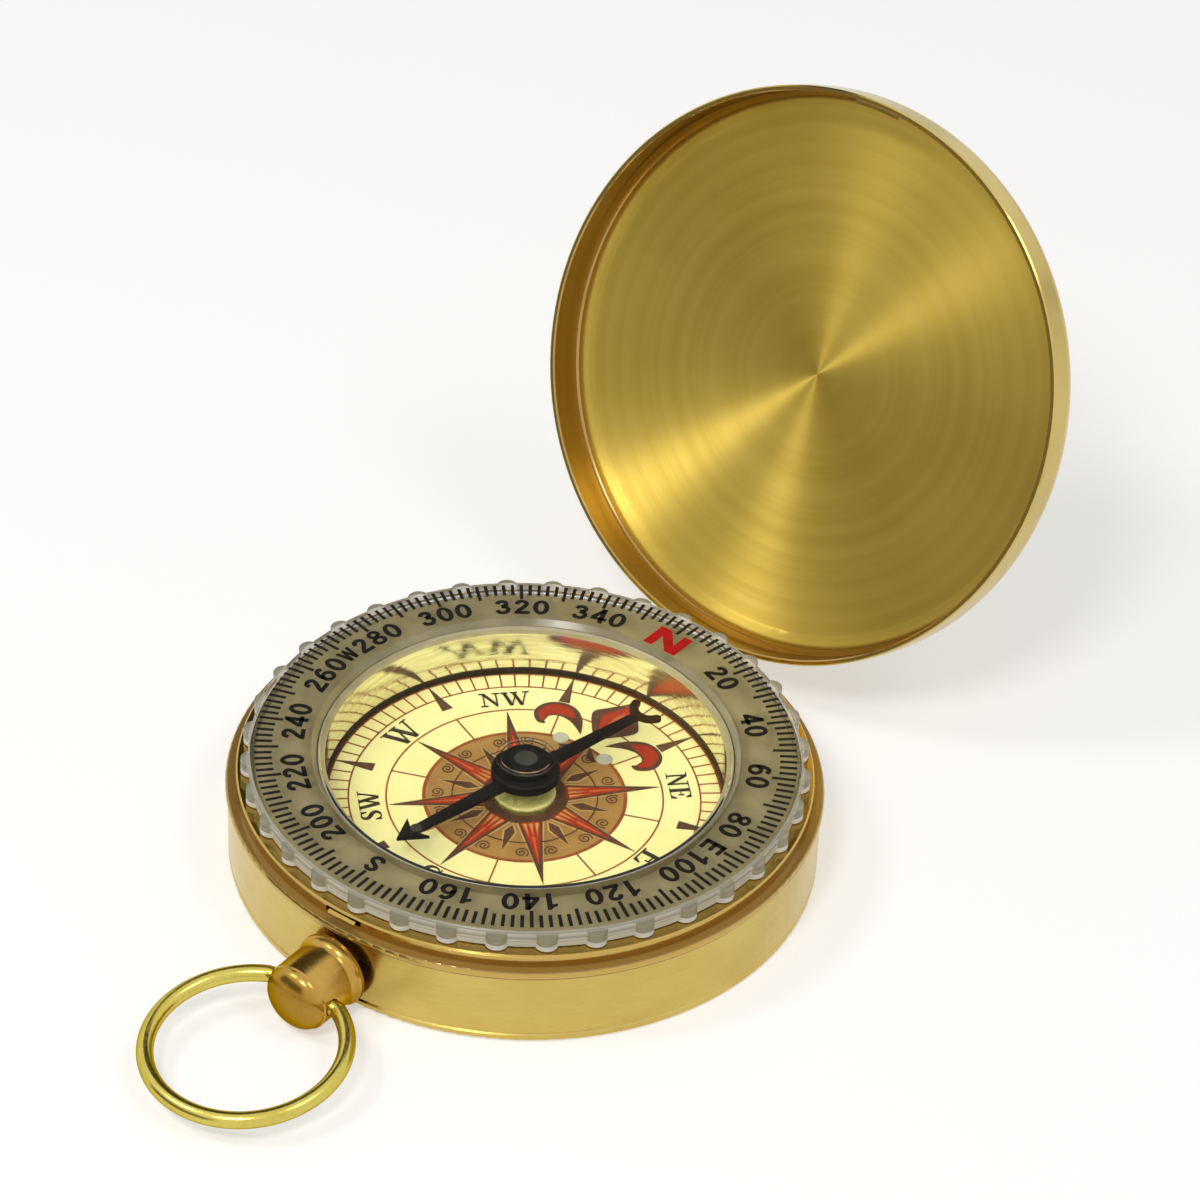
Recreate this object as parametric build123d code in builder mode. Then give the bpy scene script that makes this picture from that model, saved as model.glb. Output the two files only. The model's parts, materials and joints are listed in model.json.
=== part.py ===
from build123d import *
from math import atan2, cos, degrees, radians, sin, sqrt
import os

os.makedirs("parts", exist_ok=True)

# Pocket compass with a hinged lid, in millimetres.
# Origin at the middle of the base, +Z up, hinge towards +Y, crown and bow towards -Y.

# Clearances shared by the pieces
fit_gap = 0.05
run_gap = 0.1
overrun = 1.0

# Case body
case_radius = 24.8
case_wall = 1.0
wall_height = 6.7
bead_height = 0.7
bead_bulge = 0.2
collar_step = 0.7
collar_height = 1.1
collar_wall = 1.2
collar_edge = 0.15
shelf_reach = 1.7
shelf_thickness = 0.8
shelf_depth = 1.6
seam_chamfer = 0.15

# Case back
back_thickness = 0.8
back_edge_round = 0.35
spigot_height = 0.7
spigot_wall = 1.0

# Bezel and the grey ring under it
carrier_thickness = 0.8
bezel_overhang = 0.15
bezel_rim_height = 1.6
bezel_width = 5.65
bezel_bevel = 0.45
bezel_edge = 0.15
bump_count = 36
bump_reach = 0.65
bump_radius = 0.95
bump_drop = 0.25
bezel_north_angle = -1.5
bump_lead_angle = 7.0

# Snap ring between collar and bezel
snap_wire_radius = 0.2
snap_level_share = 0.5
snap_groove_depth = 0.2
snap_bezel_groove_depth = 0.3
snap_split_angle = 20.0

# Dial well
pad_thickness = 1.1
pad_margin = 0.9
capsule_gap = 0.3
capsule_floor = 2.3
dial_thickness = 0.4
dial_hole_radius = 1.0
gasket_height = 0.6
gasket_width = 0.6
well_wall = 0.55
crystal_recess = 0.3
crystal_thickness = 1.0
crystal_edge = 0.2
guard_radius = 2.5
guard_wall = 0.35
guard_height = 0.2
dot_radius = 0.7
dot_height = 0.12
dot_orbit = 8.4
dot_angle = 16.0

# Needle and its pivot
needle_lift = 2.3
needle_thickness = 0.3
needle_margin = 3.4
needle_tail_angle = 12.5
needle_root_half_width = 0.75
needle_tip_half_width = 0.42
head_length = 2.3
head_half_width = 1.45
head_barb = 0.5
fork_radius = 1.4
fork_width = 0.75
fork_half_angle = 72.0
hub_radius = 2.9
hub_flange_height = 0.55
hub_cap_radius = 2.1
hub_round = 0.25
hub_gap = 0.3
hub_lume_radius = 0.97
head_lume_radius = 0.48
lume_height = 0.08
jewel_radius = 0.9
jewel_drop = 0.15
jewel_height = 1.2
jewel_cup_radius = 0.65
jewel_cup_depth = 1.0
boss_radius = 2.65
boss_height = 0.65
boss_round = 0.3
boss_neck_radius = 0.8
boss_neck_height = 0.9
pin_radius = 0.3
pin_seat_depth = 1.0
pin_point_length = 0.9

# Hinge
hinge_offset = 0.45
hinge_drop = 1.81
hinge_length = 9.0
middle_length = 3.4
knuckle_radius = 1.1
knuckle_gap = 0.1
hinge_pin_radius = 0.45
leaf_thickness = 0.35
leaf_height = 2.0
heel_thickness = 0.8
heel_reach = 0.9

# Lid
lid_overhang = 0.2
lid_wall = 0.5
lid_height = 4.6
lid_corner_radius = 2.2
lid_seat_gap = 0.05
lid_rim_edge = 0.12
lid_open_angle = 113.7

# Catch between case and lid
lip_height = 0.35
lip_depth = 0.3
lip_half_angle = 5.0
catch_gap = 0.1
nose_height = 0.3
nose_slope = 0.2
nose_engagement = 0.2
spring_thickness = 0.25
spring_clearance = 0.3
spring_width = 2.4
spring_span = 42.0
tongue_half_angle = 3.2
channel_half_angle = 4.2
rivet_inset_angles = (14.0, 6.0)
rivet_radius = 0.3
rivet_head_radius = 0.55
rivet_head_height = 0.35
rivet_depth = 0.5

# Crown, its tube and stem
crown_height_share = 0.5
crown_floor_gap = 0.1
crown_gap = 0.55
crown_travel = 0.45
flange_length = 0.3
cove_length = 0.95
cove_neck_radius = 2.7
cove_depth_share = 0.3
barrel_radius = 2.95
barrel_length = 3.3
barrel_edge = 0.12
dome_height = 1.4
dome_step = 0.12
tube_radius = 1.5
tube_reach = 2.25
stem_radius = 0.6
stem_end_gap = 0.05
stem_seat_length = 1.6
clip_radius = 1.0
clip_thickness = 0.3
clip_inset = 0.1
clip_groove_depth = 0.16
clip_mouth = 0.7

# Bow
bow_wire_radius = 0.7
bow_radius = 8.0
bow_inset = 0.8
bow_bend_radius = 1.2
bow_tilt = 5.0
bow_setback = 0.9
bow_peg_length = 1.1

# Levels of the stack, from the base up
bead_top = wall_height + bead_height
collar_top = bead_top + collar_height
shelf_top = collar_top - shelf_depth
shelf_bottom = shelf_top - shelf_thickness
carrier_top = shelf_top + carrier_thickness
bezel_bottom = carrier_top + fit_gap
bezel_rim_bottom = collar_top + run_gap
bezel_top = bezel_rim_bottom + bezel_rim_height
snap_level = bezel_bottom + (bezel_rim_bottom - bezel_bottom) * snap_level_share
capsule_bottom = back_thickness + pad_thickness
dial_bottom = capsule_bottom + capsule_floor
dial_top = dial_bottom + dial_thickness
gasket_top = dial_top + gasket_height
crystal_top = bezel_top - crystal_recess
crystal_bottom = crystal_top - crystal_thickness
blade_bottom = dial_top + needle_lift
blade_top = blade_bottom + needle_thickness
hub_top = crystal_bottom - hub_gap
lid_bottom = bead_top + lid_seat_gap

# Radii that follow the bores they sit in
case_bore = case_radius - case_wall
collar_radius = case_radius - collar_step
collar_bore = collar_radius - collar_wall
shelf_radius = collar_bore - shelf_reach
bezel_radius = collar_bore + bezel_overhang
bezel_bore = bezel_radius - bezel_width
snap_groove_radius = collar_bore + snap_groove_depth
bezel_body_radius = collar_bore - run_gap
carrier_radius = collar_bore - fit_gap
carrier_bore = bezel_bore - fit_gap
crystal_radius = bezel_bore - run_gap
well_radius = crystal_radius - fit_gap
capsule_bore = well_radius + fit_gap
dial_radius = well_radius - fit_gap
gasket_inner_radius = dial_radius - gasket_width
needle_reach = dial_radius - needle_margin
capsule_radius = shelf_radius - capsule_gap
pad_radius = capsule_radius - pad_margin
lid_radius = case_radius + lid_overhang

# Hinge and lid placing
hinge_y = case_radius + hinge_offset
hinge_z = bead_top - hinge_drop
hinge_point = (0, hinge_y, hinge_z)
open_cos = cos(radians(lid_open_angle))
open_sin = sin(radians(lid_open_angle))
lid_rise = lid_bottom - hinge_z
lid_centre = (
    0,
    hinge_y - hinge_y * open_cos + lid_rise * open_sin,
    hinge_z + hinge_y * open_sin + lid_rise * open_cos,
)
lid_up = (0, open_sin, open_cos)
lid_back = (0, open_cos, -open_sin)
lid_front = (0, -open_cos, open_sin)
lid_plane = Plane(origin=lid_centre, x_dir=(1, 0, 0), z_dir=lid_up)
lid_profile_plane = Plane(origin=lid_centre, x_dir=(1, 0, 0), z_dir=lid_front)
hinge_plane = Plane(origin=hinge_point, x_dir=(0, 1, 0), z_dir=(1, 0, 0))
lid_hinge_plane = Plane(origin=hinge_point, x_dir=lid_back, z_dir=(1, 0, 0))

# Catch placing: the leaf stands inside the wall, its nose reaches under the lid's lip
spring_outer = case_bore - spring_clearance
spring_inner = spring_outer - spring_thickness
lip_inner = lid_radius - lid_wall - lip_depth
nose_bottom = lid_bottom + lip_height + catch_gap
nose_top = nose_bottom + nose_height
nose_radius = lip_inner + nose_engagement
channel_inner = spring_inner - crown_travel
front_angle = -90.0

# Crown placing: its axis runs out along -Y, distances are measured from the case's middle
crown_z = wall_height * crown_height_share
crown_start = case_radius + crown_gap
flange_radius = crown_z - crown_floor_gap
cove_start = crown_start + flange_length
barrel_start = cove_start + cove_length
barrel_end = barrel_start + barrel_length
crown_tip = barrel_end + dome_height
tube_start = case_bore + fit_gap
tube_end = crown_start + tube_reach
crown_bore = tube_radius + run_gap
crown_bore_end = tube_end + crown_travel + run_gap
stem_start = spring_outer + stem_end_gap
stem_end = crown_bore_end + stem_seat_length
clip_start = tube_start + clip_inset
clip_end = clip_start + clip_thickness
bow_distance = barrel_end - bow_setback
crown_plane = Plane(origin=(0, 0, crown_z), x_dir=(0, -1, 0), z_dir=(-1, 0, 0))
crown_axis = Axis((0, 0, crown_z), (0, -1, 0))
front_plane = Plane(origin=(0, 0, crown_z), x_dir=(1, 0, 0), z_dir=(0, -1, 0))
bow_reach = bow_radius - bow_inset
bow_point = (0, -bow_distance, crown_z)


def ring_sector(inner, outer, middle_angle, half_angle, centre=(0, 0)):
    """Flat sector of a ring, for the catch, its lip and channel and the needle's fork."""
    start = middle_angle - half_angle
    with BuildSketch() as sector:
        with BuildLine():
            outer_arc = CenterArc(centre, outer, start, 2 * half_angle)
            inner_arc = CenterArc(centre, inner, start, 2 * half_angle)
            Line(outer_arc @ 0, inner_arc @ 0)
            Line(outer_arc @ 1, inner_arc @ 1)
        make_face()
    return sector.sketch


def radial_plane(angle, distance, height):
    """Plane that faces outward at an angle round the case."""
    outward = (cos(radians(angle)), sin(radians(angle)), 0)
    origin = (outward[0] * distance, outward[1] * distance, height)
    return Plane(origin=origin, x_dir=(-outward[1], outward[0], 0), z_dir=outward)


# Case body: wall, bead, collar and shelf, with seats for hinge, tube, catch and rivets
spring_level = crown_z - spring_width / 2
with BuildPart() as case_body:
    with BuildSketch(Plane.XZ):
        with BuildLine():
            Polyline(
                (case_bore, back_thickness),
                (case_radius - seam_chamfer, back_thickness),
                (case_radius, back_thickness + seam_chamfer),
                (case_radius, wall_height),
            )
            ThreePointArc(
                (case_radius, wall_height),
                (case_radius + bead_bulge, wall_height + bead_height / 2),
                (case_radius, bead_top),
            )
            Polyline(
                (case_radius, bead_top),
                (collar_radius, bead_top),
                (collar_radius, collar_top - collar_edge),
                (collar_radius - collar_edge, collar_top),
                (collar_bore, collar_top),
                (collar_bore, snap_level + snap_wire_radius),
                (snap_groove_radius, snap_level + snap_wire_radius),
                (snap_groove_radius, snap_level - snap_wire_radius),
                (collar_bore, snap_level - snap_wire_radius),
                (collar_bore, shelf_top),
                (shelf_radius, shelf_top),
                (shelf_radius, shelf_bottom),
                (case_bore, shelf_bottom),
                (case_bore, back_thickness),
            )
        make_face()
    revolve(axis=Axis.Z)
    with BuildSketch(hinge_plane):
        Circle(knuckle_radius)
    extrude(amount=hinge_length / 2, both=True, mode=Mode.SUBTRACT)
    with BuildSketch(hinge_plane):
        Circle(knuckle_radius + run_gap)
    extrude(amount=middle_length / 2 + knuckle_gap, both=True, mode=Mode.SUBTRACT)
    with BuildSketch(hinge_plane):
        with Locations((collar_radius - hinge_y, 0)):
            Rectangle(hinge_offset + case_wall + overrun, hinge_drop, align=(Align.MIN, Align.MIN))
    extrude(amount=hinge_length / 2, both=True, mode=Mode.SUBTRACT)
    with BuildSketch(front_plane):
        Circle(tube_radius)
    extrude(amount=case_radius + overrun, mode=Mode.SUBTRACT)
    with BuildSketch(Plane.XY.offset(shelf_bottom)):
        add(ring_sector(channel_inner, case_bore - fit_gap, front_angle, channel_half_angle))
    extrude(amount=nose_top + run_gap - shelf_bottom, mode=Mode.SUBTRACT)
    with BuildSketch(Plane.XY.offset(nose_bottom - run_gap)):
        add(ring_sector(channel_inner, collar_radius + overrun, front_angle, channel_half_angle))
    extrude(amount=nose_height + 2 * run_gap, mode=Mode.SUBTRACT)
    for rivet_inset_angle in rivet_inset_angles:
        rivet_angle = spring_span - rivet_inset_angle
        with BuildSketch(radial_plane(front_angle + rivet_angle, case_bore - overrun, crown_z)):
            Circle(rivet_radius)
        extrude(amount=overrun + rivet_depth, mode=Mode.SUBTRACT)
case_body.part.label = "case_body"
export_step(case_body.part, "parts/case_body.step")

# Case back: rounded disc with a spigot that presses into the case
with BuildPart() as case_back:
    Cylinder(case_radius, back_thickness, align=(Align.CENTER, Align.CENTER, Align.MIN))
    fillet(case_back.edges().sort_by(Axis.Z)[0], back_edge_round)
    chamfer(case_back.edges().sort_by(Axis.Z)[-1], seam_chamfer)
    with BuildSketch(Plane.XY.offset(back_thickness)):
        Circle(case_bore - fit_gap)
        Circle(case_bore - fit_gap - spigot_wall, mode=Mode.SUBTRACT)
    extrude(amount=spigot_height)
case_back.part.label = "case_back"
export_step(case_back.part, "parts/case_back.step")

# Backing pad: soft disc that presses the capsule up against the grey ring
with BuildPart() as backing_pad:
    with BuildSketch(Plane.XY.offset(back_thickness)):
        Circle(pad_radius)
    extrude(amount=pad_thickness)
backing_pad.part.label = "backing_pad"
export_step(backing_pad.part, "parts/backing_pad.step")

# Capsule base: cup that carries the dial and the wall of the well
with BuildPart() as capsule_base:
    with BuildSketch(Plane.XY.offset(capsule_bottom)):
        Circle(capsule_radius)
    extrude(amount=shelf_top - capsule_bottom)
    with BuildSketch(Plane.XY.offset(dial_bottom)):
        Circle(capsule_bore)
    extrude(amount=shelf_top - dial_bottom, mode=Mode.SUBTRACT)
capsule_base.part.label = "capsule_base"
export_step(capsule_base.part, "parts/capsule_base.step")

# Dial plate: printed card with a hole for the pivot boss
with BuildPart() as dial_plate:
    with BuildSketch(Plane.XY.offset(dial_bottom)):
        Circle(dial_radius)
        Circle(dial_hole_radius, mode=Mode.SUBTRACT)
    extrude(amount=dial_thickness)
dial_plate.part.label = "dial_plate"
export_step(dial_plate.part, "parts/dial_plate.step")

# Dial dots: two luminous dots either side of north
with BuildPart() as dial_dots:
    with BuildSketch(Plane.XY.offset(dial_top)):
        with PolarLocations(dot_orbit, 2, 90.0 - dot_angle, 4 * dot_angle):
            Circle(dot_radius)
    extrude(amount=dot_height)
    fillet(dial_dots.faces().sort_by(Axis.Z)[-2:].edges(), dot_height / 2)
dial_dots.part.label = "dial_dots"
export_step(dial_dots.part, "parts/dial_dots.step")

# Dial gasket: dark seal between dial and wall
with BuildPart() as dial_gasket:
    with BuildSketch(Plane.XY.offset(dial_top)):
        Circle(dial_radius)
        Circle(gasket_inner_radius, mode=Mode.SUBTRACT)
    extrude(amount=gasket_height)
dial_gasket.part.label = "dial_gasket"
export_step(dial_gasket.part, "parts/dial_gasket.step")

# Well ring: polished wall from the gasket up to the window
with BuildPart() as well_ring:
    with BuildSketch(Plane.XY.offset(gasket_top)):
        Circle(well_radius)
        Circle(well_radius - well_wall, mode=Mode.SUBTRACT)
    extrude(amount=crystal_bottom - gasket_top)
well_ring.part.label = "well_ring"
export_step(well_ring.part, "parts/well_ring.step")

# Carrier ring: grey ring on the shelf, under the bezel
with BuildPart() as carrier_ring:
    with BuildSketch(Plane.XY.offset(shelf_top)):
        Circle(carrier_radius)
        Circle(carrier_bore, mode=Mode.SUBTRACT)
    extrude(amount=carrier_thickness)
carrier_ring.part.label = "carrier_ring"
export_step(carrier_ring.part, "parts/carrier_ring.step")

# Snap ring: split wire in the collar that keeps the bezel down, open in front of the catch
snap_start = front_angle + snap_split_angle / 2
snap_cos = cos(radians(snap_start))
snap_sin = sin(radians(snap_start))
snap_plane = Plane(origin=(0, 0, 0), x_dir=(snap_cos, snap_sin, 0), z_dir=(snap_sin, -snap_cos, 0))
with BuildPart() as snap_ring:
    with BuildSketch(snap_plane):
        with Locations((snap_groove_radius - snap_wire_radius, snap_level)):
            Circle(snap_wire_radius)
    revolve(axis=Axis.Z, revolution_arc=360.0 - snap_split_angle)
snap_ring.part.label = "snap_ring"
export_step(snap_ring.part, "parts/snap_ring.step")

# Crystal: clear window with a guard ring round the top of the hub
with BuildPart() as crystal:
    with BuildSketch(Plane.XY.offset(crystal_bottom)):
        Circle(crystal_radius)
    extrude(amount=crystal_thickness)
    chamfer(crystal.faces().sort_by(Axis.Z)[-1].edges(), crystal_edge)
    with BuildSketch(Plane.XY.offset(crystal_bottom)):
        Circle(guard_radius)
        Circle(guard_radius - guard_wall, mode=Mode.SUBTRACT)
    extrude(amount=-guard_height)
crystal.part.label = "crystal"
export_step(crystal.part, "parts/crystal.step")

# Pivot boss: pale cup in the dial that holds the pivot
boss_top = dial_top + boss_height
boss_neck_top = boss_top + boss_neck_height
pin_bottom = boss_neck_top - pin_seat_depth
with BuildPart() as pivot_boss:
    with BuildSketch(Plane.XY.offset(dial_bottom)):
        Circle(dial_hole_radius)
    extrude(amount=dial_thickness)
    with BuildSketch(Plane.XY.offset(dial_top)):
        Circle(boss_radius)
    extrude(amount=boss_height)
    fillet(pivot_boss.faces().sort_by(Axis.Z)[-1].edges(), boss_round)
    with BuildSketch(Plane.XY.offset(boss_top)):
        Circle(boss_neck_radius)
    extrude(amount=boss_neck_height)
    with BuildSketch(Plane.XY.offset(pin_bottom)):
        Circle(pin_radius)
    extrude(amount=pin_seat_depth, mode=Mode.SUBTRACT)
pivot_boss.part.label = "pivot_boss"
export_step(pivot_boss.part, "parts/pivot_boss.step")

# Pivot pin: pointed steel pivot that the jewel rides on
jewel_bottom = blade_bottom - jewel_drop
pin_tip = jewel_bottom + jewel_cup_depth - fit_gap
with BuildPart() as pivot_pin:
    with BuildSketch(Plane.XZ):
        with BuildLine():
            Polyline(
                (0, pin_bottom),
                (pin_radius, pin_bottom),
                (pin_radius, pin_tip - pin_point_length),
                (0, pin_tip),
                close=True,
            )
        make_face()
    revolve(axis=Axis.Z)
pivot_pin.part.label = "pivot_pin"
export_step(pivot_pin.part, "parts/pivot_pin.step")

# Needle frame: local +Y runs along the forked tail
tail_cos = cos(radians(needle_tail_angle))
tail_sin = sin(radians(needle_tail_angle))
needle_plane = Plane(origin=(0, 0, blade_bottom), x_dir=(tail_cos, -tail_sin, 0), z_dir=(0, 0, 1))
fork_centre = needle_reach + fork_radius * cos(radians(fork_half_angle)) - fork_width / 2
fork_foot = fork_centre - fork_radius
prong_x = fork_radius * sin(radians(fork_half_angle))
prong_y = fork_centre - fork_radius * cos(radians(fork_half_angle))
head_base = needle_reach - head_length + head_barb

# Needle blade: middle disc, tapered arms, barbed head and forked tail
with BuildPart() as needle_blade:
    with BuildSketch(needle_plane):
        Circle(hub_radius)
        with BuildLine():
            Polyline(
                (-needle_root_half_width, 0),
                (-needle_tip_half_width, fork_foot),
                (needle_tip_half_width, fork_foot),
                (needle_root_half_width, 0),
                (needle_tip_half_width, -head_base),
                (head_half_width, -needle_reach + head_length),
                (0, -needle_reach),
                (-head_half_width, -needle_reach + head_length),
                (-needle_tip_half_width, -head_base),
                close=True,
            )
        make_face()
        fork_inner = fork_radius - fork_width / 2
        fork_outer = fork_radius + fork_width / 2
        add(ring_sector(fork_inner, fork_outer, front_angle, fork_half_angle, (0, fork_centre)))
        with Locations((prong_x, prong_y), (-prong_x, prong_y)):
            Circle(fork_width / 2)
        Circle(jewel_radius, mode=Mode.SUBTRACT)
    extrude(amount=needle_thickness)
needle_blade.part.label = "needle_blade"
export_step(needle_blade.part, "parts/needle_blade.step")

# Needle hub: stepped cap over the jewel
with BuildPart() as needle_hub:
    with BuildSketch(Plane.XY.offset(blade_top)):
        Circle(hub_radius)
    extrude(amount=hub_flange_height)
    fillet(needle_hub.faces().sort_by(Axis.Z)[-1].edges(), hub_round)
    with BuildSketch(Plane.XY.offset(blade_top + hub_flange_height)):
        Circle(hub_cap_radius)
    extrude(amount=hub_top - blade_top - hub_flange_height)
    fillet(needle_hub.faces().sort_by(Axis.Z)[-1].edges(), hub_round)
    with BuildSketch(Plane.XY.offset(blade_top)):
        Circle(jewel_radius)
    extrude(amount=jewel_bottom + jewel_height - blade_top, mode=Mode.SUBTRACT)
needle_hub.part.label = "needle_hub"
export_step(needle_hub.part, "parts/needle_hub.step")

# Needle jewel: cup bearing that sits on the pivot
with BuildPart() as needle_jewel:
    with BuildSketch(Plane.XZ):
        with BuildLine():
            Polyline(
                (jewel_cup_radius, jewel_bottom),
                (jewel_radius, jewel_bottom),
                (jewel_radius, jewel_bottom + jewel_height),
                (0, jewel_bottom + jewel_height),
                (0, jewel_bottom + jewel_cup_depth),
                close=True,
            )
        make_face()
    revolve(axis=Axis.Z)
needle_jewel.part.label = "needle_jewel"
export_step(needle_jewel.part, "parts/needle_jewel.step")

# Needle lume: dots on the hub and on the needle's head
with BuildPart() as needle_lume:
    with BuildSketch(Plane.XY.offset(hub_top)):
        Circle(hub_lume_radius)
    extrude(amount=lume_height)
    with BuildSketch(needle_plane.offset(needle_thickness)):
        with Locations((0, -needle_reach + head_length - head_barb / 2)):
            Circle(head_lume_radius)
    extrude(amount=lume_height)
needle_lume.part.label = "needle_lume"
export_step(needle_lume.part, "parts/needle_lume.step")

# Bezel ring: clear scalloped ring that turns in the collar
bump_start_angle = 90.0 + bezel_north_angle - bump_lead_angle
bump_orbit = bezel_radius + bump_reach - bump_radius
with BuildPart() as bezel_ring:
    with BuildSketch(Plane.XY.offset(bezel_bottom)):
        Circle(bezel_body_radius)
    extrude(amount=bezel_rim_bottom - bezel_bottom)
    with BuildSketch(Plane.XY.offset(bezel_rim_bottom)):
        Circle(bezel_radius)
    extrude(amount=bezel_rim_height)
    chamfer(bezel_ring.faces().sort_by(Axis.Z)[-1].edges(), bezel_edge)
    with BuildSketch(Plane.XY.offset(bezel_rim_bottom)):
        with PolarLocations(bump_orbit, bump_count, bump_start_angle):
            Circle(bump_radius)
    extrude(amount=bezel_rim_height - bump_drop)
    with BuildSketch(Plane.XY.offset(bezel_bottom)):
        Circle(bezel_bore)
    extrude(amount=bezel_top - bezel_bottom, mode=Mode.SUBTRACT)
    with BuildSketch(Plane.XZ):
        with BuildLine():
            Polyline(
                (bezel_bore, bezel_top),
                (bezel_bore + bezel_bevel, bezel_top),
                (bezel_bore, bezel_top - bezel_bevel),
                close=True,
            )
        make_face()
    revolve(axis=Axis.Z, mode=Mode.SUBTRACT)
    with BuildSketch(Plane.XY.offset(snap_level - snap_wire_radius - fit_gap)):
        Circle(bezel_body_radius)
        Circle(bezel_body_radius - snap_bezel_groove_depth, mode=Mode.SUBTRACT)
    extrude(amount=2 * (snap_wire_radius + fit_gap), mode=Mode.SUBTRACT)
bezel_ring.part.label = "bezel_ring"
export_step(bezel_ring.part, "parts/bezel_ring.step")

# Case knuckles: two outer knuckles let into the case wall
with BuildPart() as case_knuckles:
    for side in (1, -1):
        outer_start = side * (middle_length / 2 + knuckle_gap)
        with BuildSketch(hinge_plane.offset(outer_start)):
            Circle(knuckle_radius)
            Circle(hinge_pin_radius, mode=Mode.SUBTRACT)
        extrude(amount=side * (hinge_length - middle_length - 2 * knuckle_gap) / 2)
case_knuckles.part.label = "case_knuckles"
export_step(case_knuckles.part, "parts/case_knuckles.step")

# Hinge pin: steel pin through all the knuckles
with BuildPart() as hinge_pin:
    with BuildSketch(hinge_plane):
        Circle(hinge_pin_radius)
    extrude(amount=hinge_length / 2, both=True)
hinge_pin.part.label = "hinge_pin"
export_step(hinge_pin.part, "parts/hinge_pin.step")

# Lid shell: shallow cup with rounded corner
inner_radius = lid_radius - lid_wall
inner_height = lid_height - lid_wall
inner_corner_radius = lid_corner_radius - lid_wall
corner_axis_radius = lid_radius - lid_corner_radius
corner_axis_height = lid_height - lid_corner_radius
with BuildPart() as lid_shell:
    with BuildSketch(lid_profile_plane):
        with BuildLine():
            Polyline(
                (inner_radius, lid_rim_edge),
                (inner_radius + lid_rim_edge, 0),
                (lid_radius - lid_rim_edge, 0),
                (lid_radius, lid_rim_edge),
                (lid_radius, corner_axis_height),
            )
            CenterArc((corner_axis_radius, corner_axis_height), lid_corner_radius, 0, 90.0)
            Polyline(
                (corner_axis_radius, lid_height),
                (0, lid_height),
                (0, inner_height),
                (corner_axis_radius, inner_height),
            )
            CenterArc((corner_axis_radius, corner_axis_height), inner_corner_radius, 0, 90.0)
            Line((inner_radius, corner_axis_height), (inner_radius, lid_rim_edge))
        make_face()
    revolve(axis=Axis(lid_centre, lid_up))
lid_shell.part.label = "lid_shell"
export_step(lid_shell.part, "parts/lid_shell.step")

# Lid knuckle: middle knuckle, leaf on the lid's wall and heel that stops the lid
with BuildPart() as lid_knuckle:
    with BuildSketch(lid_hinge_plane):
        Circle(knuckle_radius)
        with Locations((inner_radius - hinge_y, 0)):
            Rectangle(lid_wall + leaf_thickness, lid_rise + leaf_height, align=(Align.MIN, Align.MIN))
    extrude(amount=middle_length / 2, both=True)
    with BuildSketch(lid_plane):
        Circle(lid_radius)
    extrude(amount=lid_height, mode=Mode.SUBTRACT)
    with BuildSketch(hinge_plane):
        with Locations((fit_gap - hinge_offset, 0)):
            Rectangle(heel_thickness, knuckle_radius + heel_reach, align=(Align.MIN, Align.MAX))
    extrude(amount=middle_length / 2, both=True)
    with BuildSketch(hinge_plane):
        Circle(hinge_pin_radius + fit_gap)
    extrude(amount=middle_length / 2, both=True, mode=Mode.SUBTRACT)
lid_knuckle.part.label = "lid_knuckle"
export_step(lid_knuckle.part, "parts/lid_knuckle.step")

# Lid catch lip: short lip inside the rim that the nose hooks over
with BuildPart() as lid_catch_lip:
    with BuildSketch(lid_plane.offset(lid_rim_edge)):
        add(ring_sector(lip_inner, inner_radius, front_angle, lip_half_angle))
    extrude(amount=lip_height - lid_rim_edge)
lid_catch_lip.part.label = "lid_catch_lip"
export_step(lid_catch_lip.part, "parts/lid_catch_lip.step")

# Catch spring: leaf along the wall with a tongue and a nose at its free end
with BuildPart() as catch_spring:
    leaf_middle = front_angle + (spring_span - tongue_half_angle) / 2
    with BuildSketch(Plane.XY.offset(spring_level)):
        add(ring_sector(spring_inner, spring_outer, leaf_middle, (spring_span + tongue_half_angle) / 2))
    extrude(amount=spring_width)
    with BuildSketch(Plane.XY.offset(spring_level)):
        add(ring_sector(spring_inner, spring_outer, front_angle, tongue_half_angle))
    extrude(amount=nose_top - spring_level)
    with BuildSketch(Plane.XY.offset(nose_bottom)):
        add(ring_sector(spring_inner, nose_radius, front_angle, tongue_half_angle))
    extrude(amount=nose_height)
    nose_tip = catch_spring.faces().sort_by(Axis.Y)[0]
    chamfer(nose_tip.edges().sort_by(Axis.Z)[-1], nose_slope)
    for rivet_inset_angle in rivet_inset_angles:
        rivet_angle = spring_span - rivet_inset_angle
        with BuildSketch(radial_plane(front_angle + rivet_angle, spring_inner - overrun, crown_z)):
            Circle(rivet_radius)
        extrude(amount=2 * overrun + spring_thickness, mode=Mode.SUBTRACT)
catch_spring.part.label = "catch_spring"
export_step(catch_spring.part, "parts/catch_spring.step")

# Catch rivets: headed pins that hold the leaf to the wall
with BuildPart() as catch_rivets:
    head_face = spring_inner - fit_gap
    for rivet_inset_angle in rivet_inset_angles:
        rivet_angle = spring_span - rivet_inset_angle
        with BuildSketch(radial_plane(front_angle + rivet_angle, head_face, crown_z)):
            Circle(rivet_head_radius)
        extrude(amount=-rivet_head_height)
        with BuildSketch(radial_plane(front_angle + rivet_angle, head_face, crown_z)):
            Circle(rivet_radius)
        extrude(amount=case_bore + rivet_depth - head_face)
catch_rivets.part.label = "catch_rivets"
export_step(catch_rivets.part, "parts/catch_rivets.step")

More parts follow.
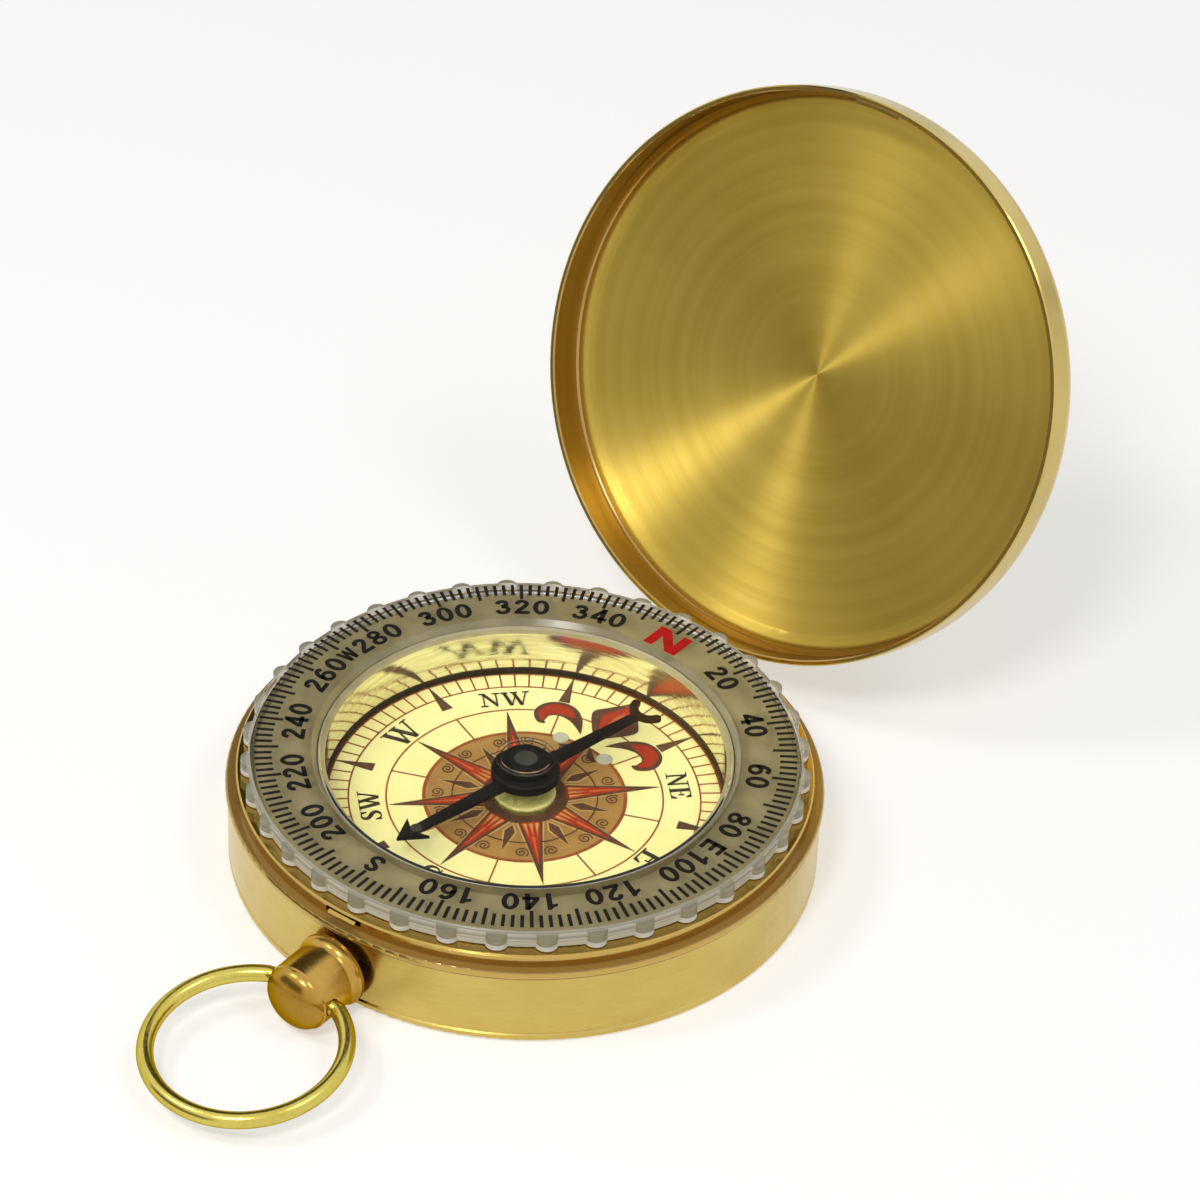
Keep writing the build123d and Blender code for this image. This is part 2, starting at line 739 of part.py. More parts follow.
# Pendant tube: guides the crown and hides its clip
with BuildPart() as pendant_tube:
    with BuildSketch(crown_plane):
        with BuildLine():
            Polyline(
                (tube_start, clip_radius + run_gap),
                (clip_end + fit_gap, clip_radius + run_gap),
                (clip_end + fit_gap, stem_radius + fit_gap),
                (tube_end, stem_radius + fit_gap),
                (tube_end, tube_radius),
                (tube_start, tube_radius),
                close=True,
            )
        make_face()
    revolve(axis=crown_axis)
pendant_tube.part.label = "pendant_tube"
export_step(pendant_tube.part, "parts/pendant_tube.step")

# Crown button: flange, cove, barrel and rounded end, bored for tube, stem and bow
dome_radius = barrel_radius - dome_step
cove_middle = cove_start + cove_length * cove_depth_share
cove_middle_radius = cove_neck_radius + (flange_radius - cove_neck_radius) * cove_depth_share
with BuildPart() as crown_button:
    with BuildSketch(crown_plane):
        with BuildLine():
            Polyline(
                (crown_start, crown_bore),
                (crown_start, flange_radius),
                (cove_start, flange_radius),
            )
            ThreePointArc(
                (cove_start, flange_radius),
                (cove_middle, cove_middle_radius),
                (barrel_start, cove_neck_radius),
            )
            Polyline(
                (barrel_start, cove_neck_radius),
                (barrel_start, barrel_radius - barrel_edge),
                (barrel_start + barrel_edge, barrel_radius),
                (barrel_end - barrel_edge, barrel_radius),
                (barrel_end, dome_radius),
            )
            EllipticalCenterArc((barrel_end, 0), dome_height, dome_radius, 0, arc_size=90.0)
            Polyline(
                (crown_tip, 0),
                (stem_end, 0),
                (stem_end, stem_radius),
                (crown_bore_end, stem_radius),
                (crown_bore_end, crown_bore),
                (crown_start, crown_bore),
            )
        make_face()
    revolve(axis=crown_axis)
    for side in (1, -1):
        peg_floor = side * (barrel_radius - bow_peg_length - run_gap)
        with BuildSketch(Plane(origin=(peg_floor, -bow_distance, crown_z), z_dir=(side, 0, 0))):
            Circle(bow_wire_radius + fit_gap)
        extrude(amount=bow_peg_length + overrun, mode=Mode.SUBTRACT)
crown_button.part.label = "crown_button"
export_step(crown_button.part, "parts/crown_button.step")

# Crown stem: pushes the catch leaf, grooved for the clip
stem_groove_radius = stem_radius - clip_groove_depth
with BuildPart() as crown_stem:
    with BuildSketch(crown_plane):
        with BuildLine():
            Polyline(
                (stem_start, 0),
                (stem_start, stem_radius),
                (clip_start, stem_radius),
                (clip_start, stem_groove_radius),
                (clip_end, stem_groove_radius),
                (clip_end, stem_radius),
                (stem_end, stem_radius),
                (stem_end, 0),
                close=True,
            )
        make_face()
    revolve(axis=crown_axis)
crown_stem.part.label = "crown_stem"
export_step(crown_stem.part, "parts/crown_stem.step")

# Crown clip: open washer in the stem's groove
with BuildPart() as crown_clip:
    with BuildSketch(front_plane.offset(clip_start)):
        Circle(clip_radius)
        Circle(stem_groove_radius, mode=Mode.SUBTRACT)
        Rectangle(clip_mouth, clip_radius + overrun, align=(Align.CENTER, Align.MIN), mode=Mode.SUBTRACT)
    extrude(amount=clip_thickness)
crown_clip.part.label = "crown_clip"
export_step(crown_clip.part, "parts/crown_clip.step")

# Bow ring: wire ring whose bent ends are pegs in the crown
tilt_cos = cos(radians(bow_tilt))
tilt_sin = sin(radians(bow_tilt))
bow_plane = Plane(origin=bow_point, x_dir=(1, 0, 0), z_dir=(0, tilt_sin, -tilt_cos))
bend_x = sqrt((bow_radius - bow_bend_radius) ** 2 - (bow_reach - bow_bend_radius) ** 2)
bend_angle = degrees(atan2(bow_bend_radius - bow_reach, bend_x))
peg_end = barrel_radius - bow_peg_length
with BuildPart() as bow_ring:
    with BuildLine(bow_plane) as bow_path:
        Line((peg_end, 0), (bend_x, 0))
        CenterArc((bend_x, bow_bend_radius), bow_bend_radius, -90.0, bend_angle + 90.0)
        CenterArc((0, bow_reach), bow_radius, bend_angle, 180.0 - 2 * bend_angle)
        CenterArc((-bend_x, bow_bend_radius), bow_bend_radius, 180.0 - bend_angle, bend_angle + 90.0)
        Line((-bend_x, 0), (-peg_end, 0))
    with BuildSketch(Plane(origin=bow_plane.from_local_coords((peg_end, 0, 0)), z_dir=(1, 0, 0))):
        Circle(bow_wire_radius)
    sweep(path=bow_path.line)
bow_ring.part.label = "bow_ring"
export_step(bow_ring.part, "parts/bow_ring.step")
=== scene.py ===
import json
from math import cos, hypot, pi, radians, sin

import bmesh
import bpy
from mathutils import Matrix, Vector


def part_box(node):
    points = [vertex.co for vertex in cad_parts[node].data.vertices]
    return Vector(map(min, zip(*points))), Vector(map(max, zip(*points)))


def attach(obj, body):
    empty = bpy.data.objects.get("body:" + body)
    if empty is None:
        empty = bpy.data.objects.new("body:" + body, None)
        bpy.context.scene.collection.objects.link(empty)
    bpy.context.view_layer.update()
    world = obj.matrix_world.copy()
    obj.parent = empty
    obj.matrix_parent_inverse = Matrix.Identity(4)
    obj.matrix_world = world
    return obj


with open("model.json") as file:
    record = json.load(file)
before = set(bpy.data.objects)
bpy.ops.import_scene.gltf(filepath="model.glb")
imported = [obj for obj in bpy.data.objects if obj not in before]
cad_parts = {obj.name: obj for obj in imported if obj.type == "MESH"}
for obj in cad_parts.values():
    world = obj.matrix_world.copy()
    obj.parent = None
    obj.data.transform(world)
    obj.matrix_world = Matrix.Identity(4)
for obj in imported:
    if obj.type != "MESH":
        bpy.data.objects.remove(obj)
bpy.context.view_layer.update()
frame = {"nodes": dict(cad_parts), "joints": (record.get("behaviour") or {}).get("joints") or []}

MM = 0.001
nodes = frame["nodes"]
joints = {joint["name"]: joint for joint in frame["joints"]}


def reach(node, axis):
    """A node's lowest and highest millimetre along one axis."""
    low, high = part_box(node)
    return low[axis] / MM, high[axis] / MM


X_AXIS, Y_AXIS, Z_AXIS = 0, 1, 2
dial_top = reach("dial_plate", Z_AXIS)[1]
dial_radius = reach("dial_plate", X_AXIS)[1]
bezel_top = reach("bezel_ring", Z_AXIS)[1]
case_top = reach("case_body", Z_AXIS)[1]
crown_face = reach("crown_button", Y_AXIS)[0]

# The lid stands open at rest and lies level when its hinge has turned all the way.
lid_turn = radians(joints["lid_hinge"]["range_deg"][1])
lid_up = Vector((0, sin(lid_turn), cos(lid_turn)))
lid_across = Vector((1, 0, 0))
lid_along = lid_up.cross(lid_across)
lid_points = [vertex.co for vertex in nodes["lid_shell"].data.vertices]
lid_heights = [point.dot(lid_up) for point in lid_points]
lid_spans = [point.dot(lid_along) for point in lid_points]
lid_rim = min(lid_heights)
lid_height = max(lid_heights) - lid_rim
lid_centre = lid_up * lid_rim + lid_along * (min(lid_spans) + max(lid_spans)) / 2


# The part of a noise's range that most of its values fall in.
NOISE_LOW, NOISE_HIGH = 0.3, 0.7
CLEAN_ROUGHNESS, HANDLED_ROUGHNESS = 0.01, 0.05


class Look:
    """The node tree of one procedural finish, with short names for the nodes that repeat."""

    def __init__(self, name, sockets):
        self.material = bpy.data.materials.new(name)
        self.material.use_nodes = True
        self.tree = self.material.node_tree
        self.tree.nodes.clear()
        self.shader = self.add("BsdfPrincipled")
        for socket, value in sockets.items():
            self.shader.inputs[socket].default_value = value
        self.output = self.add("OutputMaterial")
        self.join(self.shader.outputs[0], self.output.inputs["Surface"])
        self.place = self.add("TexCoord").outputs["Object"]

    def add(self, kind, **settings):
        node = self.tree.nodes.new("ShaderNode" + kind)
        for key, value in settings.items():
            setattr(node, key, value)
        return node

    def join(self, source, target):
        self.tree.links.new(source, target)

    def feed(self, socket, value):
        if isinstance(value, bpy.types.NodeSocket):
            self.join(value, socket)
        else:
            socket.default_value = value

    def into(self, socket, value):
        self.feed(self.shader.inputs[socket], value)

    def maths(self, operation, *values):
        node = self.add("Math", operation=operation)
        for socket, value in zip(node.inputs, values):
            self.feed(socket, value)
        return node.outputs[0]

    def vector(self, operation, *values):
        node = self.add("VectorMath", operation=operation)
        for socket, value in zip(node.inputs, values):
            self.feed(socket, value)
        return node.outputs["Value" if operation in ("DOT_PRODUCT", "LENGTH") else "Vector"]

    def noise(self, size, detail=3.0, stretch=None):
        """Cloudy noise with features of about size millimetres, squeezed by stretch along each axis."""
        place = self.vector("MULTIPLY", self.place, stretch) if stretch else self.place
        node = self.add("TexNoise")
        node.inputs["Scale"].default_value = 1 / (size * MM)
        node.inputs["Detail"].default_value = detail
        self.join(place, node.inputs["Vector"])
        return node.outputs["Fac"]

    def rings(self, distance, size, detail=3.0):
        """Noise that changes only with a distance in metres, as a turning tool leaves it."""
        node = self.add("TexNoise", noise_dimensions="1D")
        node.inputs["Scale"].default_value = 1 / (size * MM)
        node.inputs["Detail"].default_value = detail
        self.join(distance, node.inputs["W"])
        return node.outputs["Fac"]

    def along(self, axis):
        """Distance in metres along one axis of the frame."""
        node = self.add("SeparateXYZ")
        self.join(self.place, node.inputs[0])
        return node.outputs[axis]

    def radius(self):
        """Distance in metres from the compass's upright axis."""
        return self.vector("LENGTH", self.vector("MULTIPLY", self.place, (1, 1, 0)))

    def span(self, value, low, high, to_low, to_high):
        """Eases from to_low to to_high while the value goes from low to high."""
        node = self.add("MapRange", interpolation_type="SMOOTHSTEP")
        for socket, number in zip(node.inputs, (value, low, high, to_low, to_high)):
            self.feed(socket, number)
        return node.outputs["Result"]

    def spread(self, noise, to_low=0, to_high=1):
        """Eases from to_low to to_high over the usual range of a noise."""
        return self.span(noise, NOISE_LOW, NOISE_HIGH, to_low, to_high)

    def fade(self, distance, start, offsets, to_low, to_high):
        """Eases between two offsets from a start, all in millimetres."""
        low, high = offsets
        return self.span(distance, (start + low) * MM, (start + high) * MM, to_low, to_high)

    def handled(self):
        """Roughness of clear plastic that fingers have touched."""
        return self.span(self.noise(1.3, 4.0), 0.4, 0.75, CLEAN_ROUGHNESS, HANDLED_ROUGHNESS)

    def flow_lines(self):
        """The faint waves of moulded plastic."""
        return self.noise(2.4, 3.0)

    def tint(self, factor, first, second):
        node = self.add("Mix", data_type="RGBA")
        self.feed(node.inputs["Factor"], factor)
        colours = [socket for socket in node.inputs if socket.type == "RGBA"]
        for socket, colour in zip(colours, (first, second)):
            self.feed(socket, colour if isinstance(colour, bpy.types.NodeSocket) else (*colour, 1))
        return [socket for socket in node.outputs if socket.type == "RGBA"][0]

    def bump(self, height, depth):
        """Relief of depth millimetres."""
        node = self.add("Bump")
        node.inputs["Distance"].default_value = depth * MM
        self.join(height, node.inputs["Height"])
        self.into("Normal", node.outputs["Normal"])

    def let_lamps_through(self):
        """Lamps shine straight through a clear piece instead of leaving it black below."""
        mix = self.add("MixShader")
        self.join(self.add("LightPath").outputs["Is Shadow Ray"], mix.inputs[0])
        self.join(self.shader.outputs[0], mix.inputs[1])
        self.join(self.add("BsdfTransparent").outputs[0], mix.inputs[2])
        self.join(mix.outputs[0], self.output.inputs["Surface"])


BRASS = (0.61, 0.465, 0.135)
BRASS_DEEP = (0.55, 0.405, 0.105)
# Collar brass, darkened partly with painted shade and painted reflection from the bezel above it.
COLLAR_SHADED_BRASS = (0.54, 0.37, 0.10)
LID_BRASS = (0.60, 0.435, 0.085)
LID_BRASS_DEEP = (0.53, 0.375, 0.065)
# The lid's inner wall: brass darkened with painted shade.
LID_WALL_SHADE_BRASS = (0.45, 0.29, 0.10)
CROWN_BRASS = (0.60, 0.39, 0.10)
CROWN_BRASS_DEEP = (0.48, 0.28, 0.06)
# The crown's end: a painted dark reflection, in brown brass.
CROWN_FACE_REFLECTION_BRASS = (0.38, 0.215, 0.035)
BOW_BRASS = (0.68, 0.57, 0.14)
BOW_BRASS_DEEP = (0.58, 0.47, 0.09)
EDGE_BRASS = (0.5, 0.40, 0.12)
# Brown for the creases at the bead: painted shade, partly grime.
CREASE_SHADE_BROWN = (0.38, 0.23, 0.06)
WHITE = (1.0, 1.0, 1.0)
# Sizes of the brass's clouds, tool marks and scuffs, and the reach of a crease, in millimetres.
BRASS_CLOUDS, TOOL_MARKS, SCUFFS = 7.0, 2.2, 0.9
CREASE_FADE = (0.03, 0.12)
CREASE_METAL = 0.3


def brass(name, bright, deep, rough, turned, relief, zone=None, shaded_creases=(), edge=WHITE):
    """Lacquered brass. turned squeezes the tool marks so that they run round the piece.

    zone gives an axis, the two places between which it begins, and its own colour and polish.
    creases are heights darkened brown with painted shade, partly grime.
    """
    look = Look(name, {"Metallic": 1.0, "Specular Tint": (*edge, 1)})
    clouds = look.noise(BRASS_CLOUDS, 4.0)
    marks = look.noise(TOOL_MARKS, 5.0, turned)
    scuffs = look.noise(SCUFFS, 2.0)
    uneven = look.maths("ADD", clouds, look.maths("MULTIPLY", marks, 0.5))
    colour = look.tint(look.span(uneven, 0.55, 1.0, 0, 1), bright, deep)
    worn = look.maths("ADD", look.spread(marks, rough * 0.8, rough * 1.25),
                      look.span(scuffs, 0.62, 0.75, 0.0, 0.06))
    if zone:
        axis, start, end, zone_colour, polish = zone
        within = look.fade(look.along(axis), 0, (start, end), 0, 1)
        colour = look.tint(within, colour, zone_colour)
        worn = look.maths("MULTIPLY", worn, look.span(within, 0, 1, 1.0, polish))
    crease_shade = 0.0
    # Each crease height gets painted shade, partly grime.
    for height in shaded_creases:
        away = look.maths("ABSOLUTE", look.maths("SUBTRACT", look.along(Z_AXIS), height * MM))
        crease_shade = look.maths("MAXIMUM", crease_shade, look.fade(away, 0, CREASE_FADE, 1, 0))
    if shaded_creases:
        colour = look.tint(crease_shade, colour, CREASE_SHADE_BROWN)
        look.into("Metallic", look.span(crease_shade, 0, 1, 1.0, CREASE_METAL))
    look.into("Base Color", colour)
    look.into("Roughness", worn)
    look.bump(look.maths("ADD", marks, look.maths("MULTIPLY", scuffs, 0.25)), relief)
    return look


# The lid's floor is shaded as if dished by LID_DISH times the square of the radius, all in metres.
LID_SHEET = 0.5 * MM
LID_DISH = 7.0
LID_ANISOTROPY = 0.95
TANGENT_LEAN = 0.4
# Millimetres: depth of the turned grooves, and width of the fine rings, the broad rings and the clouds.
LID_GROOVE = 0.002
FINE_RINGS, BROAD_RINGS, LID_CLOUDS = 0.16, 1.9, 9.0
# The lid's back is this much rougher than its skirt.
LID_BACK_ROUGHER = 0.2
lid_inner = reach("lid_shell", X_AXIS)[1] * MM - LID_SHEET


def lid_finish():
    """Turned brass inside the lid, polished brass on its skirt and back, with painted shade on the inner
    wall.
    """
    look = Look("lid_turned_brass", {"Metallic": 1.0})
    offset = look.vector("SUBTRACT", look.place, tuple(lid_centre))
    depth = look.vector("DOT_PRODUCT", offset, tuple(lid_up))
    lift = look.add("VectorMath", operation="SCALE")
    lift.inputs[0].default_value = tuple(lid_up)
    look.join(depth, lift.inputs["Scale"])
    level = look.vector("SUBTRACT", offset, lift.outputs["Vector"])
    rho = look.vector("LENGTH", level)
    outward = look.add("VectorTransform", vector_type="VECTOR", convert_from="OBJECT", convert_to="WORLD")
    leaning = look.vector("ADD", look.vector("NORMALIZE", level), tuple(lid_up * TANGENT_LEAN))
    look.join(leaning, outward.inputs[0])
    look.into("Tangent", outward.outputs[0])
    sheet = lid_height - LID_SHEET / 2
    below = look.span(depth, sheet - 0.02 * MM, sheet + 0.02 * MM, 1.0, 0.0)
    above = look.span(depth, sheet - 0.9 * MM, sheet - 0.5 * MM, 0.0, 1.0)
    within = look.span(rho, lid_inner + 0.05 * MM, lid_inner + 0.2 * MM, 1.0, 0.0)
    hollow = look.maths("MULTIPLY", within, below)
    inside = look.maths("MULTIPLY", hollow, above)
    look.into("Anisotropic", look.maths("MULTIPLY", inside, LID_ANISOTROPY))
    fine = look.rings(rho, FINE_RINGS, 4.0)
    broad = look.rings(rho, BROAD_RINGS, 3.0)
    clouds = look.noise(LID_CLOUDS, 3.0)
    uneven = look.maths("ADD", broad, look.maths("MULTIPLY", clouds, 0.8))
    floor = look.tint(look.span(uneven, 0.6, 1.2, 0, 1), LID_BRASS, LID_BRASS_DEEP)
    skirt = look.tint(look.spread(clouds), BRASS, BRASS_DEEP)
    # The inner wall of the lid gets painted shade.
    skirt = look.tint(hollow, skirt, LID_WALL_SHADE_BRASS)
    look.into("Base Color", look.tint(inside, skirt, floor))
    turned = look.maths("ADD", look.spread(fine, 0.39, 0.45),
                        look.span(broad, 0.35, 0.65, -0.015, 0.02))
    polished = look.maths("ADD", look.span(look.noise(1.4, 3.0), 0.35, 0.7, 0.135, 0.165),
                          look.span(depth, sheet, lid_height, 0.0, LID_BACK_ROUGHER))
    blend = look.add("Mix", data_type="FLOAT")
    numbers = [socket for socket in blend.inputs if socket.type == "VALUE"]
    for socket, value in zip(numbers, (inside, polished, turned)):
        look.join(value, socket)
    look.into("Roughness", blend.outputs[0])
    cut = look.maths("ADD", fine, look.maths("MULTIPLY", broad, 0.8))
    grooves = look.maths("MULTIPLY", inside, cut)
    grain = look.maths("ADD", grooves, look.maths("MULTIPLY", look.noise(1.0, 2.0), 0.2))
    fall = look.maths("SUBTRACT", look.maths("MULTIPLY", rho, rho), lid_inner ** 2)
    dish = look.maths("MULTIPLY", inside, look.maths("MULTIPLY", fall, LID_DISH))
    look.bump(look.maths("ADD", look.maths("MULTIPLY", grain, LID_GROOVE * MM), dish), 1 / MM)
    return look


def clear(name, colour, ior, ripple):
    """Clear glass or plastic with faint flow lines and handling marks."""
    look = Look(name, {"Transmission Weight": 1.0, "IOR": ior, "Base Color": (*colour, 1)})
    look.into("Roughness", look.handled())
    look.bump(look.flow_lines(), ripple)
    look.let_lamps_through()
    return look


ACRYLIC_IOR = 1.49
RIB_REACH, RIM_HEIGHT, BEVEL = 0.65, 1.6, 0.45
# Millimetres from the rim, the bevel's edge, the rim's foot and the window's edge.
WALL_FADE, RIB_FADE = (-0.12, -0.04), (0.08, 0.25)
BEVEL_FADE, FOOT_FADE, EDGE_FADE = (0, 0.15), (0.4, 0.55), (-0.06, -0.02)
BEZEL_TINT, WINDOW_TINT = (0.985, 0.985, 0.97), (0.99, 0.995, 0.985)
# Painted glints and a painted highlight for the bezel's outer wall, and grey for what shows through its ribs.
PAINTED_GLINT_WHITE, PAINTED_GLINT_DULL, RIB_SHOW_THROUGH_GREY = (0.97, 0.96, 0.93), (0.60, 0.58, 0.49), (0.44, 0.42, 0.31)
EDGE_MILK, EDGE_MILK_DULL = (0.66, 0.62, 0.46), (0.56, 0.52, 0.38)
bore_radius = min(hypot(v.co.x, v.co.y) for v in nodes["bezel_ring"].data.vertices) / MM
rim_radius = reach("bezel_ring", X_AXIS)[1] - RIB_REACH
rim_foot = bezel_top - RIM_HEIGHT
window_radius = reach("crystal", X_AXIS)[1]


def bezel_finish():
    """Clear acrylic with a ground inner bevel, and painted glints and show-through on its outer wall."""
    look = Look("bezel_acrylic", {"IOR": ACRYLIC_IOR})
    rho, up = look.radius(), look.along(Z_AXIS)
    wall = look.fade(rho, rim_radius, WALL_FADE, 0, 1)
    rib = look.fade(rho, rim_radius, RIB_FADE, 0, 1)
    bevel = look.fade(rho, bore_radius + BEVEL, BEVEL_FADE, 1, 0)
    foot = look.fade(up, rim_foot, FOOT_FADE, 1, 0)
    # Stripes of painted glints, a painted highlight at the foot, and grey painted on the ribs for the parts
    # below.
    lines = look.span(look.rings(up, 0.3, 1.0), 0.44, 0.56, 0, 1)
    milk = look.tint(lines, PAINTED_GLINT_DULL, PAINTED_GLINT_WHITE)
    milk = look.tint(rib, milk, RIB_SHOW_THROUGH_GREY)
    milk = look.tint(foot, milk, PAINTED_GLINT_WHITE)
    look.into("Base Color", look.tint(wall, BEZEL_TINT, milk))
    look.into("Transmission Weight", look.span(wall, 0, 1, 1.0, 0.4))
    ground = look.maths("MULTIPLY", look.maths("MAXIMUM", wall, bevel), 0.2)
    look.into("Roughness", look.maths("ADD", look.handled(), ground))
    ridges = look.maths("MULTIPLY", look.maths("MULTIPLY", wall, lines), 8)
    look.bump(look.maths("ADD", look.flow_lines(), ridges), 0.004)
    look.let_lamps_through()
    return look


def window_finish():
    """Clear acrylic whose cut edge is milky."""
    look = Look("window_acrylic", {"IOR": ACRYLIC_IOR})
    edge = look.fade(look.radius(), window_radius, EDGE_FADE, 0, 1)
    handled = look.handled()
    touched = look.span(handled, CLEAN_ROUGHNESS, HANDLED_ROUGHNESS, 0, 1)
    milk = look.tint(touched, EDGE_MILK, EDGE_MILK_DULL)
    look.into("Base Color", look.tint(edge, WINDOW_TINT, milk))
    look.into("Transmission Weight", look.span(edge, 0, 1, 1.0, 0.0))
    look.into("Roughness", look.maths("ADD", handled, look.maths("MULTIPLY", edge, 0.35)))
    look.bump(look.flow_lines(), 0.0006)
    look.let_lamps_through()
    return look


def plain(name, first, second, rough, grain, relief, sockets=None):
    """An opaque finish whose colour, roughness and relief all wander with the same grain size."""
    look = Look(name, sockets or {})
    clouds = look.noise(grain * 6, 4.0)
    fine = look.noise(grain, 4.0)
    look.into("Base Color", look.tint(look.spread(clouds), first, second))
    look.into("Roughness", look.spread(fine, rough * 0.85, rough * 1.15))
    look.bump(fine, relief)
    return look


# How the tool marks are squeezed on pieces turned about each axis, and on drawn wire.
ROUND_X = (36, 1, 1)
ROUND_Y = (1, 36, 1)
ROUND_Z = (1, 1, 36)
EVEN = (6, 6, 6)
# Millimetres below the case body's top edge, and behind the crown's end.
BEAD_FOOT, BEAD_TOP, COLLAR_FADE = 1.8, 1.1, 0.3
CROWN_FACE_DEPTH = 2.2
# From the bead's foot up the case is smoother and darker, partly painted shade from the bezel.
case_look = brass("case_satin_brass", BRASS, BRASS_DEEP, 0.22, ROUND_Z, 0.0012,
                  (Z_AXIS, case_top - BEAD_FOOT, case_top - BEAD_FOOT + COLLAR_FADE, COLLAR_SHADED_BRASS, 0.6),
                  (case_top - BEAD_FOOT, case_top - BEAD_TOP))
lid_look = lid_finish()
# The crown's end is painted dark brown, a painted reflection on its dome.
crown_look = brass("crown_polished_brass", CROWN_BRASS, CROWN_BRASS_DEEP, 0.2, ROUND_Y, 0.0018,
                   (Y_AXIS, crown_face + CROWN_FACE_DEPTH, crown_face, CROWN_FACE_REFLECTION_BRASS, 1.1),
                   edge=EDGE_BRASS)
rim_look = brass("lid_polished_brass", BRASS, BRASS_DEEP, 0.15, ROUND_X, 0.001)
bow_look = brass("bow_bright_brass", BOW_BRASS, BOW_BRASS_DEEP, 0.2, EVEN, 0.0012, edge=EDGE_BRASS)
steel_look = plain("spring_steel", (0.56, 0.57, 0.59), (0.44, 0.45, 0.47), 0.3, 0.25, 0.002,
                   {"Metallic": 1.0})
bezel_look = bezel_finish()
window_look = window_finish()
jewel_look = clear("jewel_glass", (0.36, 0.37, 0.31), 1.6, 0.0005)
carrier_look = plain("satin_grey_ring", (0.36, 0.305, 0.15), (0.30, 0.25, 0.12), 0.42, 0.35, 0.004)
seal_look = plain("dark_seal", (0.028, 0.017, 0.009), (0.016, 0.010, 0.005), 0.6, 0.15, 0.006,
                  {"Specular IOR Level": 0.2})
seat_look = plain("window_seat", (0.47, 0.41, 0.22), (0.40, 0.34, 0.17), 0.35, 0.3, 0.003)
lume_look = plain("luminous_paint", (0.50, 0.49, 0.34), (0.40, 0.39, 0.27), 0.5, 0.2, 0.006)
needle_lume_look = plain("aged_luminous_paint", (0.045, 0.048, 0.038), (0.030, 0.032, 0.025), 0.5, 0.2, 0.006,
                         {"Specular IOR Level": 0.2})
needle_look = plain("satin_black_paint", (0.005, 0.005, 0.005), (0.010, 0.009, 0.008), 0.5, 0.12, 0.003,
                    {"Specular IOR Level": 0.08})
plastic_look = plain("capsule_plastic", (0.54, 0.52, 0.44), (0.48, 0.46, 0.39), 0.5, 0.4, 0.006)
foam_look = plain("pad_foam", (0.022, 0.022, 0.022), (0.035, 0.034, 0.033), 0.9, 0.3, 0.05)


def wall_finish():
    """The bright drawn wall of the capsule, streaked round its axis."""
    look = Look("polished_wall", {"Metallic": 1.0})
    streaks = look.noise(3.0, 5.0, (1, 1, 9))
    dull = look.span(streaks, 0.35, 0.7, 0, 1)
    look.into("Base Color", look.tint(dull, (0.86, 0.83, 0.71), (0.76, 0.72, 0.58)))
    look.into("Roughness", look.spread(streaks, 0.05, 0.16))
    look.bump(streaks, 0.012)
    return look


def card_finish():
    """Pale yellow printed card under a thin varnish."""
    look = Look("dial_card", {"Coat Weight": 0.1, "Coat Roughness": 0.2})
    fibres = look.noise(0.25, 5.0)
    clouds = look.noise(6.0, 3.0)
    look.into("Base Color", look.tint(look.spread(clouds), (0.91, 0.86, 0.37), (0.88, 0.81, 0.32)))
    look.into("Roughness", look.spread(fibres, 0.42, 0.58))
    look.bump(fibres, 0.003)
    return look


# Millimetres above the dial where the boss turns pale, and from the middle where the rose's gold does.
BOSS_FADE, GOLD_FADE = (0.35, 0.6), (3, 8)


def boss_finish():
    """Pale green translucent moulding, darker at its foot."""
    look = Look("pale_boss", {"Coat Weight": 0.6, "Coat Roughness": 0.08,
                              "Transmission Weight": 0.25, "IOR": 1.45})
    edge = look.fade(look.along(Z_AXIS), dial_top, BOSS_FADE, 1.0, 0.0)
    clouds = look.spread(look.noise(1.2, 3.0))
    face = look.tint(clouds, (0.88, 0.82, 0.28), (0.80, 0.73, 0.22))
    look.into("Base Color", look.tint(edge, face, (0.22, 0.19, 0.04)))
    look.into("Roughness", look.span(clouds, 0, 1, 0.2, 0.3))
    look.bump(look.noise(0.5, 3.0), 0.003)
    look.let_lamps_through()
    return look


def ink(name, first, second):
    """Printing ink, a little uneven, with the card's fibres under it."""
    return plain(name, first, second, 0.5, 0.16, 0.002, {"Specular IOR Level": 0.15})


def gold_ink():
    """The rose's gold ground, deeper and redder towards the middle."""
    look = Look("gold_ink", {"Coat Weight": 0.1, "Coat Roughness": 0.2})
    outward = look.fade(look.radius(), 0, GOLD_FADE, 0, 1)
    clouds = look.spread(look.noise(1.6, 4.0))
    outer = look.tint(clouds, (0.39, 0.215, 0.046), (0.325, 0.17, 0.036))
    look.into("Base Color", look.tint(outward, (0.31, 0.15, 0.035), outer))
    fibres = look.noise(0.25, 4.0)
    look.into("Roughness", look.spread(fibres, 0.4, 0.55))
    look.bump(fibres, 0.002)
    return look


finishes = {
    case_look: ("case_body", "case_back", "case_knuckles", "pendant_tube", "catch_spring", "catch_rivets"),
    lid_look: ("lid_shell",),
    rim_look: ("lid_knuckle", "lid_catch_lip"),
    crown_look: ("crown_button",),
    bow_look: ("bow_ring",),
    steel_look: ("crown_stem", "crown_clip", "hinge_pin", "snap_ring", "pivot_pin"),
    bezel_look: ("bezel_ring",),
    window_look: ("crystal",),
    jewel_look: ("needle_jewel",),
    carrier_look: ("carrier_ring",),
    seal_look: ("dial_gasket",),
    lume_look: ("dial_dots",),
    needle_lume_look: ("needle_lume",),
    needle_look: ("needle_blade", "needle_hub"),
    plastic_look: ("capsule_base",),
    foam_look: ("backing_pad",),
    wall_finish(): ("well_ring",),
    card_finish(): ("dial_plate",),
    boss_finish(): ("pivot_boss",),
}
